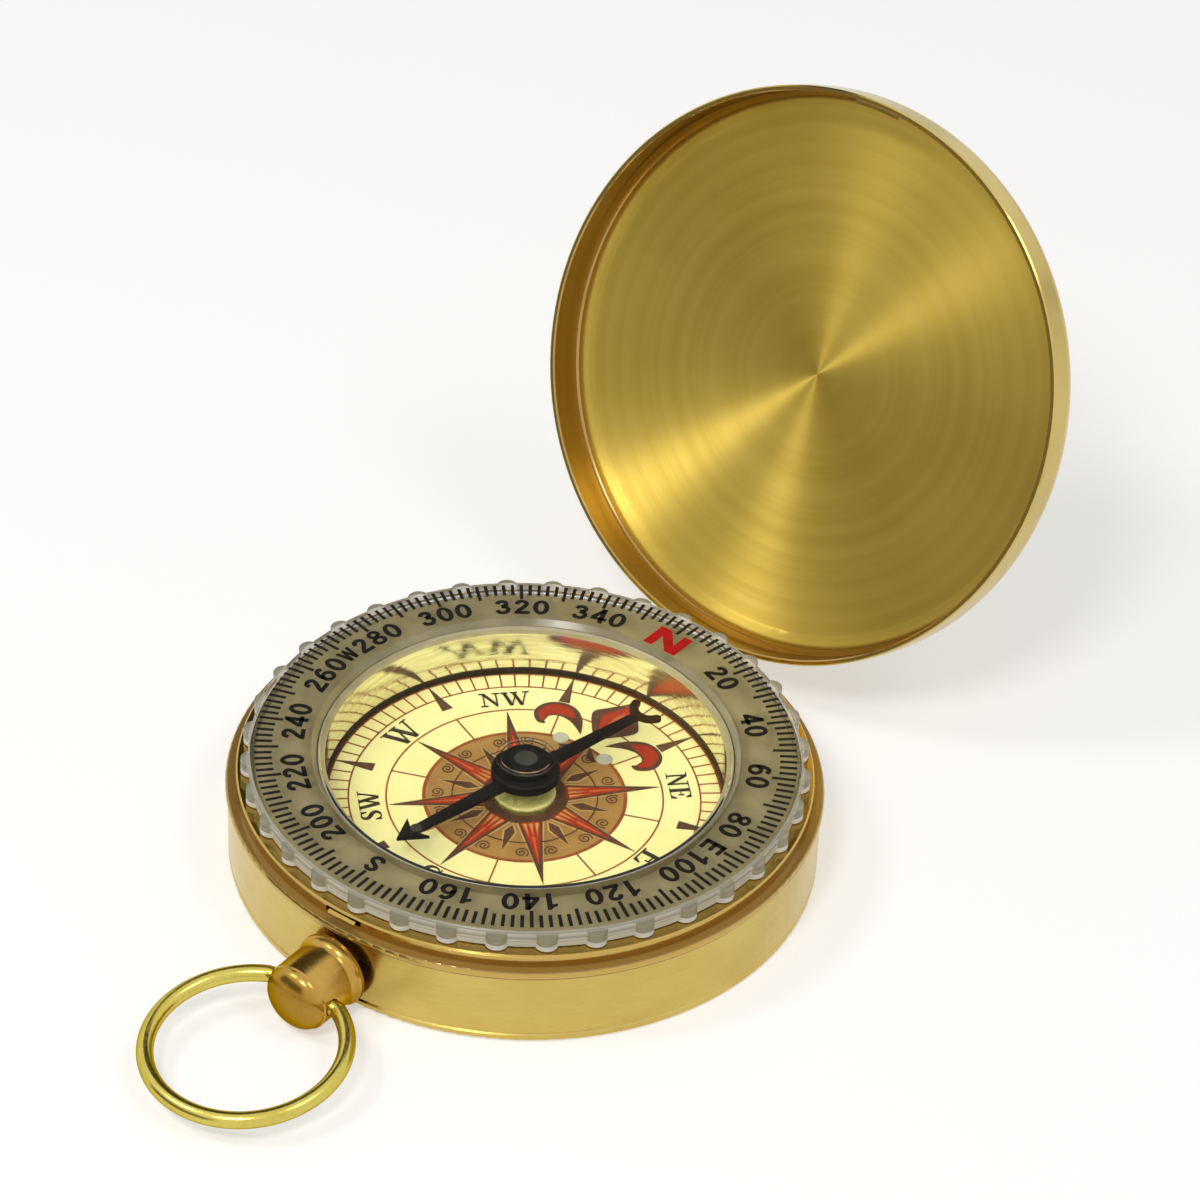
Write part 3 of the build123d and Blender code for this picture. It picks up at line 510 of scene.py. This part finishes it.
for look, names in finishes.items():
    for name in names:
        nodes[name].material_slots[0].material = look.material


def polar(radius, angle, aside=0.0):
    """A point at a radius and a compass angle, moved aside to the right of the outward direction."""
    turn = radians(angle)
    return radius * sin(turn) + aside * cos(turn), radius * cos(turn) - aside * sin(turn)


def curved(points, steps=8):
    """A smooth path through the points, each a tuple of numbers that all blend alike."""
    padded = [points[0], *points, points[-1]]
    path = []
    for before, start, end, after in zip(padded, padded[1:], padded[2:], padded[3:]):
        for step in range(steps):
            t = step / steps
            path.append(tuple(
                0.5 * (2 * b + (c - a) * t + (2 * a - 5 * b + 4 * c - d) * t * t
                       + (3 * b - a - 3 * c + d) * t ** 3)
                for a, b, c, d in zip(before, start, end, after)))
    path.append(tuple(points[-1]))
    return path


# Half the width of the finest line that is drawn, in millimetres.
FINEST_HALF = 0.012


class Print:
    """Inked shapes of one colour, each a thin closed solid on a level face. Sizes are in millimetres."""

    def __init__(self, bottom, thickness):
        self.bottom = bottom
        self.top = bottom + thickness
        self.bm = bmesh.new()

    def point(self, x, y, z):
        return self.bm.verts.new((x * MM, y * MM, z * MM))

    def area(self, outline):
        lower = [self.point(x, y, self.bottom) for x, y in outline]
        upper = [self.point(x, y, self.top) for x, y in outline]
        self.bm.faces.new(upper)
        self.bm.faces.new(lower[::-1])
        for i in range(len(outline)):
            j = (i + 1) % len(outline)
            self.bm.faces.new((lower[i], lower[j], upper[j], upper[i]))

    def band(self, left, right, closed=False):
        rows = [[self.point(*a, self.bottom), self.point(*b, self.bottom),
                 self.point(*b, self.top), self.point(*a, self.top)] for a, b in zip(left, right)]
        pairs = list(zip(rows, rows[1:]))
        if closed:
            pairs.append((rows[-1], rows[0]))
        else:
            self.bm.faces.new(rows[0])
            self.bm.faces.new(rows[-1][::-1])
        for first, second in pairs:
            for i in range(4):
                j = (i + 1) % 4
                self.bm.faces.new((first[i], second[i], second[j], first[j]))

    def ring(self, radius, half_width, steps=240):
        turns = [360 * i / steps for i in range(steps)]
        self.band([polar(radius + half_width, a) for a in turns],
                  [polar(radius - half_width, a) for a in turns], closed=True)

    def annulus(self, inner, outer):
        self.ring((inner + outer) / 2, (outer - inner) / 2)

    def spoke(self, angle, inner, outer, inner_half, outer_half):
        self.area([polar(inner, angle, -inner_half), polar(inner, angle, inner_half),
                   polar(outer, angle, outer_half), polar(outer, angle, -outer_half)])

    def stroke(self, path):
        """A line whose points are x, y and half width."""
        left, right = [], []
        for i, (x, y, half) in enumerate(path):
            ahead, behind = path[min(i + 1, len(path) - 1)], path[max(i - 1, 0)]
            dx, dy = ahead[0] - behind[0], ahead[1] - behind[1]
            length = hypot(dx, dy)
            half = max(half, FINEST_HALF)
            left.append((x - dy / length * half, y + dx / length * half))
            right.append((x + dy / length * half, y - dx / length * half))
        self.band(left, right)

    def piece(self, name, body, look, slot):
        bmesh.ops.recalc_face_normals(self.bm, faces=self.bm.faces[:])
        mesh = bpy.data.meshes.new(name)
        self.bm.to_mesh(mesh)
        self.bm.free()
        mesh.materials.append(look.material)
        made = bpy.data.objects.new(name, mesh)
        bpy.context.scene.collection.objects.link(made)
        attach(made, body)


def bar(start, end, width):
    """A stem with level ends."""
    half = width / 2
    return [(start[0] - half, start[1]), (start[0] + half, start[1]),
            (end[0] + half, end[1]), (end[0] - half, end[1])]


def slab(left, right, low, high):
    return [(left, low), (right, low), (right, high), (left, high)]


THICK, THIN, SERIF = 0.165, 0.06, 0.042
SERIF_LETTERS = {
    "N": (1.0, [
        bar((0.2, 1), (0.2, 0), THIN), bar((0.83, 1), (0.83, 0), THIN),
        [(0.06, 1), (0.27, 1), (0.86, 0.12), (0.86, -0.02), (0.80, -0.02), (0.17, 0.9)],
        slab(-0.02, 0.26, 1 - SERIF, 1), slab(0.02, 0.38, 0, SERIF), slab(0.65, 1.01, 1 - SERIF, 1)]),
    "E": (0.82, [
        bar((0.22, 1), (0.22, 0), THICK), slab(0.02, 0.74, 1 - SERIF, 1), slab(0.02, 0.77, 0, SERIF),
        slab(0.22, 0.58, 0.5, 0.5 + SERIF), slab(0.555, 0.595, 0.38, 0.67),
        [(0.6, 1 - SERIF), (0.74, 1), (0.775, 0.74), (0.735, 0.74)],
        [(0.62, SERIF), (0.77, 0), (0.825, 0.28), (0.785, 0.28)]]),
    "W": (1.38, [
        bar((0.16, 1), (0.45, 0), THICK), bar((0.47, 0), (0.72, 0.8), THIN),
        bar((0.63, 1), (0.95, 0), THICK), bar((0.97, 0), (1.25, 1), THIN),
        slab(-0.02, 0.35, 1 - SERIF, 1), slab(0.46, 0.82, 1 - SERIF, 1), slab(1.08, 1.4, 1 - SERIF, 1)]),
}
S_WIDTH = 0.68
S_PATH = [
    (0.585, 0.78, 0.02), (0.50, 0.925, 0.028), (0.35, 0.975, 0.03), (0.19, 0.91, 0.05), (0.13, 0.77, 0.075),
    (0.2, 0.62, 0.09), (0.36, 0.51, 0.1), (0.53, 0.40, 0.09), (0.6, 0.24, 0.075), (0.52, 0.085, 0.05),
    (0.34, 0.02, 0.03), (0.17, 0.075, 0.028), (0.07, 0.23, 0.02)]
S_TICKS = [slab(0.57, 0.605, 0.7, 1), slab(0.05, 0.085, 0, 0.3)]
LETTER_GAP = 0.08


def standing(angle, radius, height, start, widen=1.0):
    """Turns a letter's own coordinates, in heights, into its place standing outward at a compass angle."""
    return lambda x, y: polar(radius + (y - 0.5) * height, angle, (start + x) * height * widen)


def serif_word(target, word, angle, radius, height):
    """A direction in seriffed capitals."""
    widths = [S_WIDTH if letter == "S" else SERIF_LETTERS[letter][0] for letter in word]
    start = -(sum(widths) + LETTER_GAP * (len(word) - 1)) / 2
    for letter, width in zip(word, widths):
        put = standing(angle, radius, height, start)
        if letter == "S":
            for tick in S_TICKS:
                target.area([put(*corner) for corner in tick])
            target.stroke([(*put(x, y), half * height) for x, y, half in curved(S_PATH, 5)])
        else:
            for shape in SERIF_LETTERS[letter][1]:
                target.area([put(*corner) for corner in shape])
        start += width + LETTER_GAP


# The bezel's plain heavy face, in heights: width, ovals (middle, outer and inner halves), lines and areas.
HEAVY = 0.1
PLAIN_LETTERS = {
    "0": (0.66, [(0.33, 0.5, 0.33, 0.5, 0.125, 0.315)], [], []),
    "1": (0.46, [], [], [[(0.43, 0), (0.43, 1), (0.28, 1), (0.19, 0.87),
                          (0.03, 0.8), (0.03, 0.64), (0.22, 0.68), (0.22, 0)]]),
    "2": (0.64, [], [[(0.13, 0.67), (0.17, 0.83), (0.33, 0.895), (0.49, 0.81), (0.5, 0.66), (0.38, 0.47),
                      (0.2, 0.27), (0.13, 0.12)]], [slab(0.02, 0.63, 0, 0.19)]),
    "3": (0.64, [], [[(0.12, 0.72), (0.18, 0.85), (0.32, 0.895), (0.46, 0.83), (0.46, 0.65), (0.28, 0.535)],
                     [(0.28, 0.535), (0.49, 0.45), (0.525, 0.28), (0.42, 0.13), (0.3, 0.1), (0.15, 0.15),
                      (0.1, 0.3)]], []),
    "4": (0.68, [], [[(0.46, 0.93), (0.12, 0.34)]], [slab(0.37, 0.57, 0, 1), slab(0.03, 0.68, 0.2, 0.38)]),
    "6": (0.66, [(0.335, 0.325, 0.32, 0.325, 0.125, 0.15)],
          [[(0.115, 0.36), (0.13, 0.62), (0.23, 0.82), (0.37, 0.895), (0.53, 0.8)]], []),
    "8": (0.66, [(0.33, 0.735, 0.28, 0.265, 0.1, 0.1), (0.33, 0.28, 0.32, 0.28, 0.125, 0.115)], [], []),
    "E": (0.66, [], [], [slab(0.02, 0.24, 0, 1), slab(0.02, 0.66, 0, 0.19), slab(0.02, 0.6, 0.41, 0.59),
                         slab(0.02, 0.65, 0.81, 1)]),
    "S": (0.68, [], [[(0.555, 0.73), (0.47, 0.86), (0.33, 0.895), (0.19, 0.84), (0.14, 0.73), (0.2, 0.6),
                      (0.36, 0.51), (0.52, 0.41), (0.565, 0.27), (0.49, 0.14), (0.34, 0.1), (0.18, 0.14),
                      (0.1, 0.28)]], []),
    "W": (1.0, [], [], [bar((0.12, 1), (0.31, 0), 0.21), bar((0.31, 0), (0.5, 0.95), 0.17),
                        bar((0.5, 0.95), (0.69, 0), 0.17), bar((0.69, 0), (0.88, 1), 0.21)]),
    "N": (1.22, [], [], [[(0, 0), (0, 1), (0.4, 1), (0.9, 0.4), (0.9, 1), (1.22, 1), (1.22, 0), (0.82, 0),
                          (0.32, 0.6), (0.32, 0)]]),
}
OVAL_STEPS = 32


def plain_letter(target, letter, angle, radius, height, widen=1.0):
    """One character of the plain heavy face."""
    width, ovals, lines, areas = PLAIN_LETTERS[letter]
    put = standing(angle, radius, height, -width / 2, widen)
    turns = [2 * pi * i / OVAL_STEPS for i in range(OVAL_STEPS)]
    for x, y, outer_x, outer_y, inner_x, inner_y in ovals:
        target.band([put(x + outer_x * cos(t), y + outer_y * sin(t)) for t in turns],
                    [put(x + inner_x * cos(t), y + inner_y * sin(t)) for t in turns], closed=True)
    for path in lines:
        target.stroke([(*put(x, y), HEAVY * height) for x, y in curved(path, 5)])
    for outline in areas:
        target.area([put(*corner) for corner in outline])


# The dial's drawing, in millimetres on a dial of the frame's radius.
INK_STEP = 0.012
layers = ("gold", "line", "pale", "brown", "red", "orange", "yellow", "dark")
inks = {name: Print(dial_top, INK_STEP * (i + 1)) for i, name in enumerate(layers)}

HALF_LINE = 0.075
DEGREE_INNER, DEGREE_OUTER = dial_radius - 2.45, dial_radius - 0.68
CIRCLE, ROSE, ROSE_HUB = 11.6, 8.45, 3.55
BOSS_FOOT = reach("pivot_boss", X_AXIS)[1]
GRADE_COUNT = 80

gold, line, pale, brown = inks["gold"], inks["line"], inks["pale"], inks["brown"]
red, orange, yellow, dark = inks["red"], inks["orange"], inks["yellow"], inks["dark"]

gold.annulus(BOSS_FOOT, ROSE)
for radius in (DEGREE_INNER, DEGREE_OUTER, CIRCLE):
    line.ring(radius, HALF_LINE)
line.ring(ROSE, 2 * HALF_LINE)
for i in range(GRADE_COUNT):
    line.spoke(360 * i / GRADE_COUNT, DEGREE_INNER, DEGREE_OUTER, HALF_LINE, HALF_LINE)

# Between the winds: a pointer in the degree ring, and a lozenge given by its foot and shoulder beyond
# the hub, its tip and its half width.
POINTER_INNER, POINTER_OUTER, POINTER_HALF, POINT_HALF = 13.15, DEGREE_OUTER - 0.1, 0.5, 0.03
LOZENGES = ((pale, 0.1, 1.25, 7.6, 0.6), (brown, 0.4, 1.3, 7.36, 0.45))
for angle in [22.5 + 45 * i for i in range(8)]:
    line.spoke(angle, ROSE, CIRCLE, HALF_LINE, HALF_LINE)
    brown.spoke(angle, POINTER_INNER, POINTER_OUTER, POINTER_HALF, POINT_HALF)
    for target, foot, shoulder, tip, half in LOZENGES:
        target.area([polar(ROSE_HUB + foot, angle), polar(ROSE_HUB + shoulder, angle, half),
                     polar(tip, angle), polar(ROSE_HUB + shoulder, angle, -half)])

# A ray's brown body, its pale margin, its red heart, the orange vein in that and the flames at its foot.
RAY_HALF, RAY_TIP, RAY_FOOT = 1.02, 11.4, ROSE_HUB - 0.05
PALE_TIP, PALE_FOOT_MARGIN, PALE_TIP_MARGIN = RAY_TIP - 2.6, 0.16, 0.05
RED_TIP, RED_INSET = 8.9, 0.2
VEIN_TIP, VEIN_HALF, VEIN_POINT = 8.1, 0.12, 0.02
FLAME_FOOT, FLAME_TOP = ROSE_HUB + 0.15, ROSE_HUB + 1.9
FLAME_ASIDE, FLAME_LEAN = 0.52, 0.7
FLAMES = ((orange, 0.22, FLAME_TOP), (yellow, 0.11, FLAME_TOP - 0.5))


def ray_half(radius, inset=0.0):
    return RAY_HALF * (RAY_TIP - radius) / (RAY_TIP - RAY_FOOT) - inset


for angle in range(45, 360, 45):
    pale.spoke(angle, RAY_FOOT, PALE_TIP,
               ray_half(RAY_FOOT, -PALE_FOOT_MARGIN), ray_half(PALE_TIP, -PALE_TIP_MARGIN))
    brown.spoke(angle, RAY_FOOT, RAY_TIP, RAY_HALF, FINEST_HALF)
    red.spoke(angle, RAY_FOOT, RED_TIP, ray_half(RAY_FOOT, RED_INSET), POINT_HALF)
    orange.spoke(angle, FLAME_TOP, VEIN_TIP, VEIN_HALF, VEIN_POINT)
    for aside in (-FLAME_ASIDE, 0.0, FLAME_ASIDE):
        for target, half, tip in FLAMES:
            target.area([polar(FLAME_FOOT, angle, aside - half), polar(tip, angle, aside * FLAME_LEAN),
                         polar(FLAME_FOOT, angle, aside + half)])

# Scrolls beside every ray, the thin circle that joins the lozenges and the ring round the boss.
SCROLL_RADIUS, SCROLL_ANGLE, SCROLL_SIZE, SCROLL_EYE, SCROLL_HALF = 7.35, 9.9, 0.62, 0.1, 0.06
SCROLL_START, SCROLL_SWEEP, SCROLL_STEPS = 0.6, 3.6 * pi, 48
LOZENGE_CIRCLE, LOZENGE_LINE = 6.1, 0.065
for angle in range(0, 360, 45):
    for side in (-1, 1):
        middle = polar(SCROLL_RADIUS, angle + side * SCROLL_ANGLE)
        path = []
        for step in range(SCROLL_STEPS + 1):
            t = step / SCROLL_STEPS
            turn = radians(angle) + side * (t * SCROLL_SWEEP + SCROLL_START)
            reach_out = SCROLL_SIZE * (SCROLL_EYE + (1 - SCROLL_EYE) * t)
            path.append((middle[0] + reach_out * sin(turn), middle[1] + reach_out * cos(turn), SCROLL_HALF))
        brown.stroke(path)
brown.ring(LOZENGE_CIRCLE, LOZENGE_LINE)
brown.annulus(BOSS_FOOT, ROSE_HUB + 0.1)

# The lily at north: a leaf between two curling petals, on stalks and a short ray of its own.
LEAF = [(0, 16.2), (0.75, 15.1), (1.6, 13.9), (2.28, 12.9), (2.05, 12.1), (1.2, 11.0), (0.5, 10.2), (0, 9.7)]
HEART = [(0, 15.6), (0.45, 14.8), (0.95, 13.7), (1.3, 12.85), (1.0, 11.9), (0.5, 11.1), (0, 10.7)]
GLINT = [(0, 14.3), (0.2, 13.6), (0.34, 12.9), (0.22, 12.0), (0, 11.5)]
for target, half in ((brown, LEAF), (red, HEART), (orange, GLINT)):
    right = curved(half, 5)
    target.area(right + [(-x, y) for x, y in right[-2:0:-1]])
PETAL = [(1.31, 9.54, 0.02), (2.6, 10.75, 0.5), (4.0, 11.3, 0.85), (5.2, 10.9, 0.9), (5.62, 9.9, 0.75),
         (5.15, 9.0, 0.4), (4.6, 8.85, 0.05)]
FLESH = [(2.95, 10.9, 0.05), (3.6, 11.15, 0.42), (4.35, 11.2, 0.62), (5.15, 10.8, 0.64), (5.5, 9.95, 0.5),
         (5.2, 9.25, 0.22), (4.95, 9.1, 0.05)]
STALK = [(0.5, 8.5, 0.05), (1.0, 7.75, 0.28), (1.5, 7.4, 0.22), (2.0, 7.3, 0.03)]
for side in (-1, 1):
    brown.stroke([(side * x, y, half) for x, y, half in curved(PETAL)])
    red.stroke([(side * x, y, half) for x, y, half in curved(FLESH)])
    brown.stroke([(side * x, y, half) for x, y, half in curved(STALK)])
NORTH_RAY_TIP = 9.2
NORTH_RED = [(-0.5, 4.2), (0.5, 4.2), (0.42, 6.9), (0, 8.3), (-0.42, 6.9)]
NORTH_VEIN_FOOT, NORTH_VEIN_TIP, NORTH_VEIN_HALF = 4.3, 7.6, 0.1
brown.spoke(0, RAY_FOOT, NORTH_RAY_TIP, RAY_HALF, POINT_HALF)
red.area(NORTH_RED)
orange.spoke(0, NORTH_VEIN_FOOT, NORTH_VEIN_TIP, NORTH_VEIN_HALF, VEIN_POINT)

WORD_RADIUS, WIND_HEIGHT, HALF_WIND_HEIGHT = 13.05, 2.3, 1.75
for word, angle, height in (("E", 90, WIND_HEIGHT), ("S", 180, WIND_HEIGHT), ("W", 270, WIND_HEIGHT),
                            ("NE", 45, HALF_WIND_HEIGHT), ("SE", 135, HALF_WIND_HEIGHT),
                            ("SW", 225, HALF_WIND_HEIGHT), ("NW", 315, HALF_WIND_HEIGHT)):
    serif_word(dark, word, angle, WORD_RADIUS, height)

ink_looks = {
    "gold": gold_ink(),
    "line": ink("russet_ink", (0.34, 0.085, 0.025), (0.26, 0.065, 0.02)),
    "pale": ink("pale_gold_ink", (0.54, 0.36, 0.12), (0.47, 0.30, 0.10)),
    "brown": ink("brown_ink", (0.115, 0.052, 0.028), (0.085, 0.038, 0.02)),
    "red": ink("red_ink", (0.39, 0.033, 0.009), (0.33, 0.030, 0.009)),
    "orange": ink("orange_ink", (0.56, 0.13, 0.035), (0.48, 0.11, 0.03)),
    "yellow": ink("yellow_ink", (0.62, 0.36, 0.09), (0.55, 0.30, 0.075)),
    "dark": ink("dark_ink", (0.030, 0.022, 0.016), (0.045, 0.032, 0.022)),
}
for name, target in inks.items():
    target.piece("dial_print_" + name, "case", ink_looks[name], "dial_card")

# The bezel: two grey linings, a mark every two degrees, a longer one every ten, and a number every twenty.
PRINT_THICKNESS = 0.02
BEZEL_NORTH = 1.5
MARK_OUTER, MARK_INNER, LONG_INNER, MARK_HALF = 22.55, 21.1, 20.55, 0.15
NUMBER_RADIUS, NUMBER_HEIGHT, NUMBER_STEP, NUMBER_WIDEN = 19.45, 2.0, 4.9, 1.08
WEST_HEIGHT = 1.6
BACKING_LIFT, BACKING_INSET = 0.02, 0.35
bezel_bottom = reach("bezel_ring", Z_AXIS)[0]
carrier_radius = reach("carrier_ring", X_AXIS)[1]
backing = Print(bezel_bottom + BACKING_LIFT, PRINT_THICKNESS)
backing_inner = bore_radius + BACKING_LIFT
backing.annulus(backing_inner, carrier_radius - BACKING_INSET)
backing.piece("bezel_backing", "bezel", carrier_look, "grey_ring")
cuff = Print(bezel_bottom + 2 * BACKING_LIFT, bezel_top - BEVEL - bezel_bottom - 4 * BACKING_LIFT)
cuff.annulus(backing_inner, backing_inner + PRINT_THICKNESS)
cuff.piece("bezel_cuff", "bezel", carrier_look, "grey_ring")

# A pale ring shows through the window where it rests on the well's edge.
well_outer = reach("well_ring", X_AXIS)[1]
well_inner = min(hypot(v.co.x, v.co.y) for v in nodes["well_ring"].data.vertices) / MM
seat = Print(reach("well_ring", Z_AXIS)[1] + BACKING_LIFT / 2, PRINT_THICKNESS)
seat.annulus(well_inner, well_outer)
seat.piece("window_seat", "case", seat_look, "polished_wall")

scale = Print(bezel_top, PRINT_THICKNESS)
for degree in range(0, 360, 2):
    inner = MARK_INNER if degree % 10 else LONG_INNER
    scale.spoke(BEZEL_NORTH + degree, inner, MARK_OUTER, MARK_HALF, MARK_HALF)
for degree in range(20, 360, 20):
    if degree == 180:
        continue
    digits = str(degree)
    for i, digit in enumerate(digits):
        turn = (i - (len(digits) - 1) / 2) * NUMBER_STEP
        plain_letter(scale, digit, BEZEL_NORTH + degree + turn, NUMBER_RADIUS, NUMBER_HEIGHT, NUMBER_WIDEN)
for letter, degree, height in (("E", 90, NUMBER_HEIGHT), ("S", 180, NUMBER_HEIGHT), ("W", 270, WEST_HEIGHT)):
    plain_letter(scale, letter, BEZEL_NORTH + degree, NUMBER_RADIUS, height)
black_look = ink("black_ink", (0.008, 0.008, 0.008), (0.014, 0.013, 0.012))
scale.piece("bezel_scale", "bezel", black_look, "needle_black")

NORTH_RADIUS, NORTH_HEIGHT = 19.35, 2.7
north = Print(bezel_top, PRINT_THICKNESS)
plain_letter(north, "N", BEZEL_NORTH, NORTH_RADIUS, NORTH_HEIGHT)
north_look = ink("north_red_ink", (0.62, 0.008, 0.012), (0.52, 0.007, 0.010))
north.piece("bezel_north", "bezel", north_look, "clear_bezel")

# Stage, in metres: a pale floor, three soft lamps, white all round, and two cards that only reflections see.
stage_middle = Vector((0, 0.004, 0.012))
FLOOR_RADIUS, FLOOR_SIDES, FLOOR_DROP = 3.0, 64, 0.00002
FLOOR_COLOUR, FLOOR_GLOW = (0.80, 0.79, 0.77), 0.44
WORLD_FILL, WORLD_WHITE = 0.32, 1.0
MATT = 0.9
LAMP_DISTANCE, CARD_DISTANCE = 0.6, 0.5


def light_path_white(tree, base, white):
    """A strength that is white for camera, glossy and transmission rays and base for the rest."""
    path = tree.nodes.new("ShaderNodeLightPath")
    value = path.outputs["Is Camera Ray"]
    for other in ("Is Glossy Ray", "Is Transmission Ray"):
        larger = tree.nodes.new("ShaderNodeMath")
        larger.operation = "MAXIMUM"
        tree.links.new(value, larger.inputs[0])
        tree.links.new(path.outputs[other], larger.inputs[1])
        value = larger.outputs[0]
    spread = tree.nodes.new("ShaderNodeMapRange")
    spread.inputs["To Min"].default_value = base
    spread.inputs["To Max"].default_value = white
    tree.links.new(value, spread.inputs["Value"])
    return spread.outputs["Result"]


world = bpy.data.worlds.new("studio")
world.use_nodes = True
bpy.context.scene.world = world
background = world.node_tree.nodes["Background"]
background.inputs["Color"].default_value = (*WHITE, 1)
world_strength = light_path_white(world.node_tree, WORLD_FILL, WORLD_WHITE)
world.node_tree.links.new(world_strength, background.inputs["Strength"])


def flat_sheet(name, corners, material):
    mesh = bpy.data.meshes.new(name)
    mesh.from_pydata([tuple(corner) for corner in corners], [], [tuple(range(len(corners)))])
    mesh.materials.append(material)
    sheet = bpy.data.objects.new(name, mesh)
    bpy.context.scene.collection.objects.link(sheet)
    return sheet


floor_material = bpy.data.materials.new("pale_floor")
floor_material.use_nodes = True
floor_tree = floor_material.node_tree
floor_shader = floor_tree.nodes["Principled BSDF"]
floor_shader.inputs["Base Color"].default_value = (*FLOOR_COLOUR, 1)
floor_shader.inputs["Roughness"].default_value = MATT
floor_shader.inputs["Specular IOR Level"].default_value = 0.0
floor_shader.inputs["Emission Color"].default_value = (*WHITE, 1)
floor_tree.links.new(light_path_white(floor_tree, 0.0, FLOOR_GLOW), floor_shader.inputs["Emission Strength"])
floor_turns = [2 * pi * i / FLOOR_SIDES for i in range(FLOOR_SIDES)]
flat_sheet("floor", [(FLOOR_RADIUS * cos(t), FLOOR_RADIUS * sin(t), -FLOOR_DROP) for t in floor_turns],
           floor_material)


def lamp(name, direction, size, power):
    """A round soft lamp that faces the middle of the stage."""
    data = bpy.data.lights.new(name, "AREA")
    data.shape = "DISK"
    data.size = size
    data.energy = power
    made = bpy.data.objects.new(name, data)
    made.location = stage_middle + direction.normalized() * LAMP_DISTANCE
    made.rotation_mode = "QUATERNION"
    made.rotation_quaternion = (-direction).to_track_quat("-Z", "Y")
    bpy.context.scene.collection.objects.link(made)


lamp("left_softbox", Vector((-0.441, -0.416, 0.795)), 0.14, 0.50)
lamp("right_softbox", Vector((0.145, -0.564, 0.813)), 0.14, 0.85)
lamp("top_softbox", Vector((0.5, 0.05, 0.86)), 0.2, 0.345)


def card(name, direction, width, height, shade):
    """A card that only reflections see, through glass too."""
    material = bpy.data.materials.new(name)
    material.use_nodes = True
    shader = material.node_tree.nodes["Principled BSDF"]
    shader.inputs["Base Color"].default_value = (*shade, 1)
    shader.inputs["Roughness"].default_value = MATT
    facing = (-direction).to_track_quat("Z", "Y").to_matrix()
    middle = stage_middle + direction.normalized() * CARD_DISTANCE
    corners = [middle + facing @ Vector((sx * width / 2, sy * height / 2, 0))
               for sx, sy in ((-1, -1), (1, -1), (1, 1), (-1, 1))]
    made = flat_sheet(name, corners, material)
    for ray in ("camera", "diffuse", "shadow", "volume_scatter"):
        setattr(made, "visible_" + ray, False)


card("front_card", Vector((-0.42, -0.89, 0.16)), 0.58, 0.3, (0.42, 0.37, 0.30))
card("back_card", Vector((-0.459, 0.653, 0.603)), 0.44, 0.40, (0.09, 0.08, 0.06))

# Camera, where the photograph was taken from.
CAMERA_PLACE = Vector((180.1, -246.7, 256.8)) * MM
CAMERA_YAW, CAMERA_PITCH, CAMERA_ROLL = radians(35.09), radians(37.08), radians(2.60)
FOCAL_PIXELS, PHOTO_PIXELS, SENSOR = 4724.0, 1200, 36.0
CLIP_NEAR, CLIP_FAR = 0.01, 10.0
look_out = Vector((-sin(CAMERA_YAW) * cos(CAMERA_PITCH), cos(CAMERA_YAW) * cos(CAMERA_PITCH),
                   -sin(CAMERA_PITCH)))
level_right = Vector((cos(CAMERA_YAW), sin(CAMERA_YAW), 0))
level_up = level_right.cross(look_out)
right = level_right * cos(CAMERA_ROLL) + level_up * sin(CAMERA_ROLL)
up = level_up * cos(CAMERA_ROLL) - level_right * sin(CAMERA_ROLL)
camera_data = bpy.data.cameras.new("photo_camera")
camera_data.sensor_width = SENSOR
camera_data.lens = SENSOR * FOCAL_PIXELS / PHOTO_PIXELS
camera_data.clip_start = CLIP_NEAR
camera_data.clip_end = CLIP_FAR
camera = bpy.data.objects.new("photo_camera", camera_data)
camera.matrix_world = Matrix((
    (right.x, up.x, -look_out.x, CAMERA_PLACE.x),
    (right.y, up.y, -look_out.y, CAMERA_PLACE.y),
    (right.z, up.z, -look_out.z, CAMERA_PLACE.z),
    (0, 0, 0, 1)))
bpy.context.scene.collection.objects.link(camera)
bpy.context.scene.camera = camera
bpy.context.scene.view_settings.view_transform = "Standard"
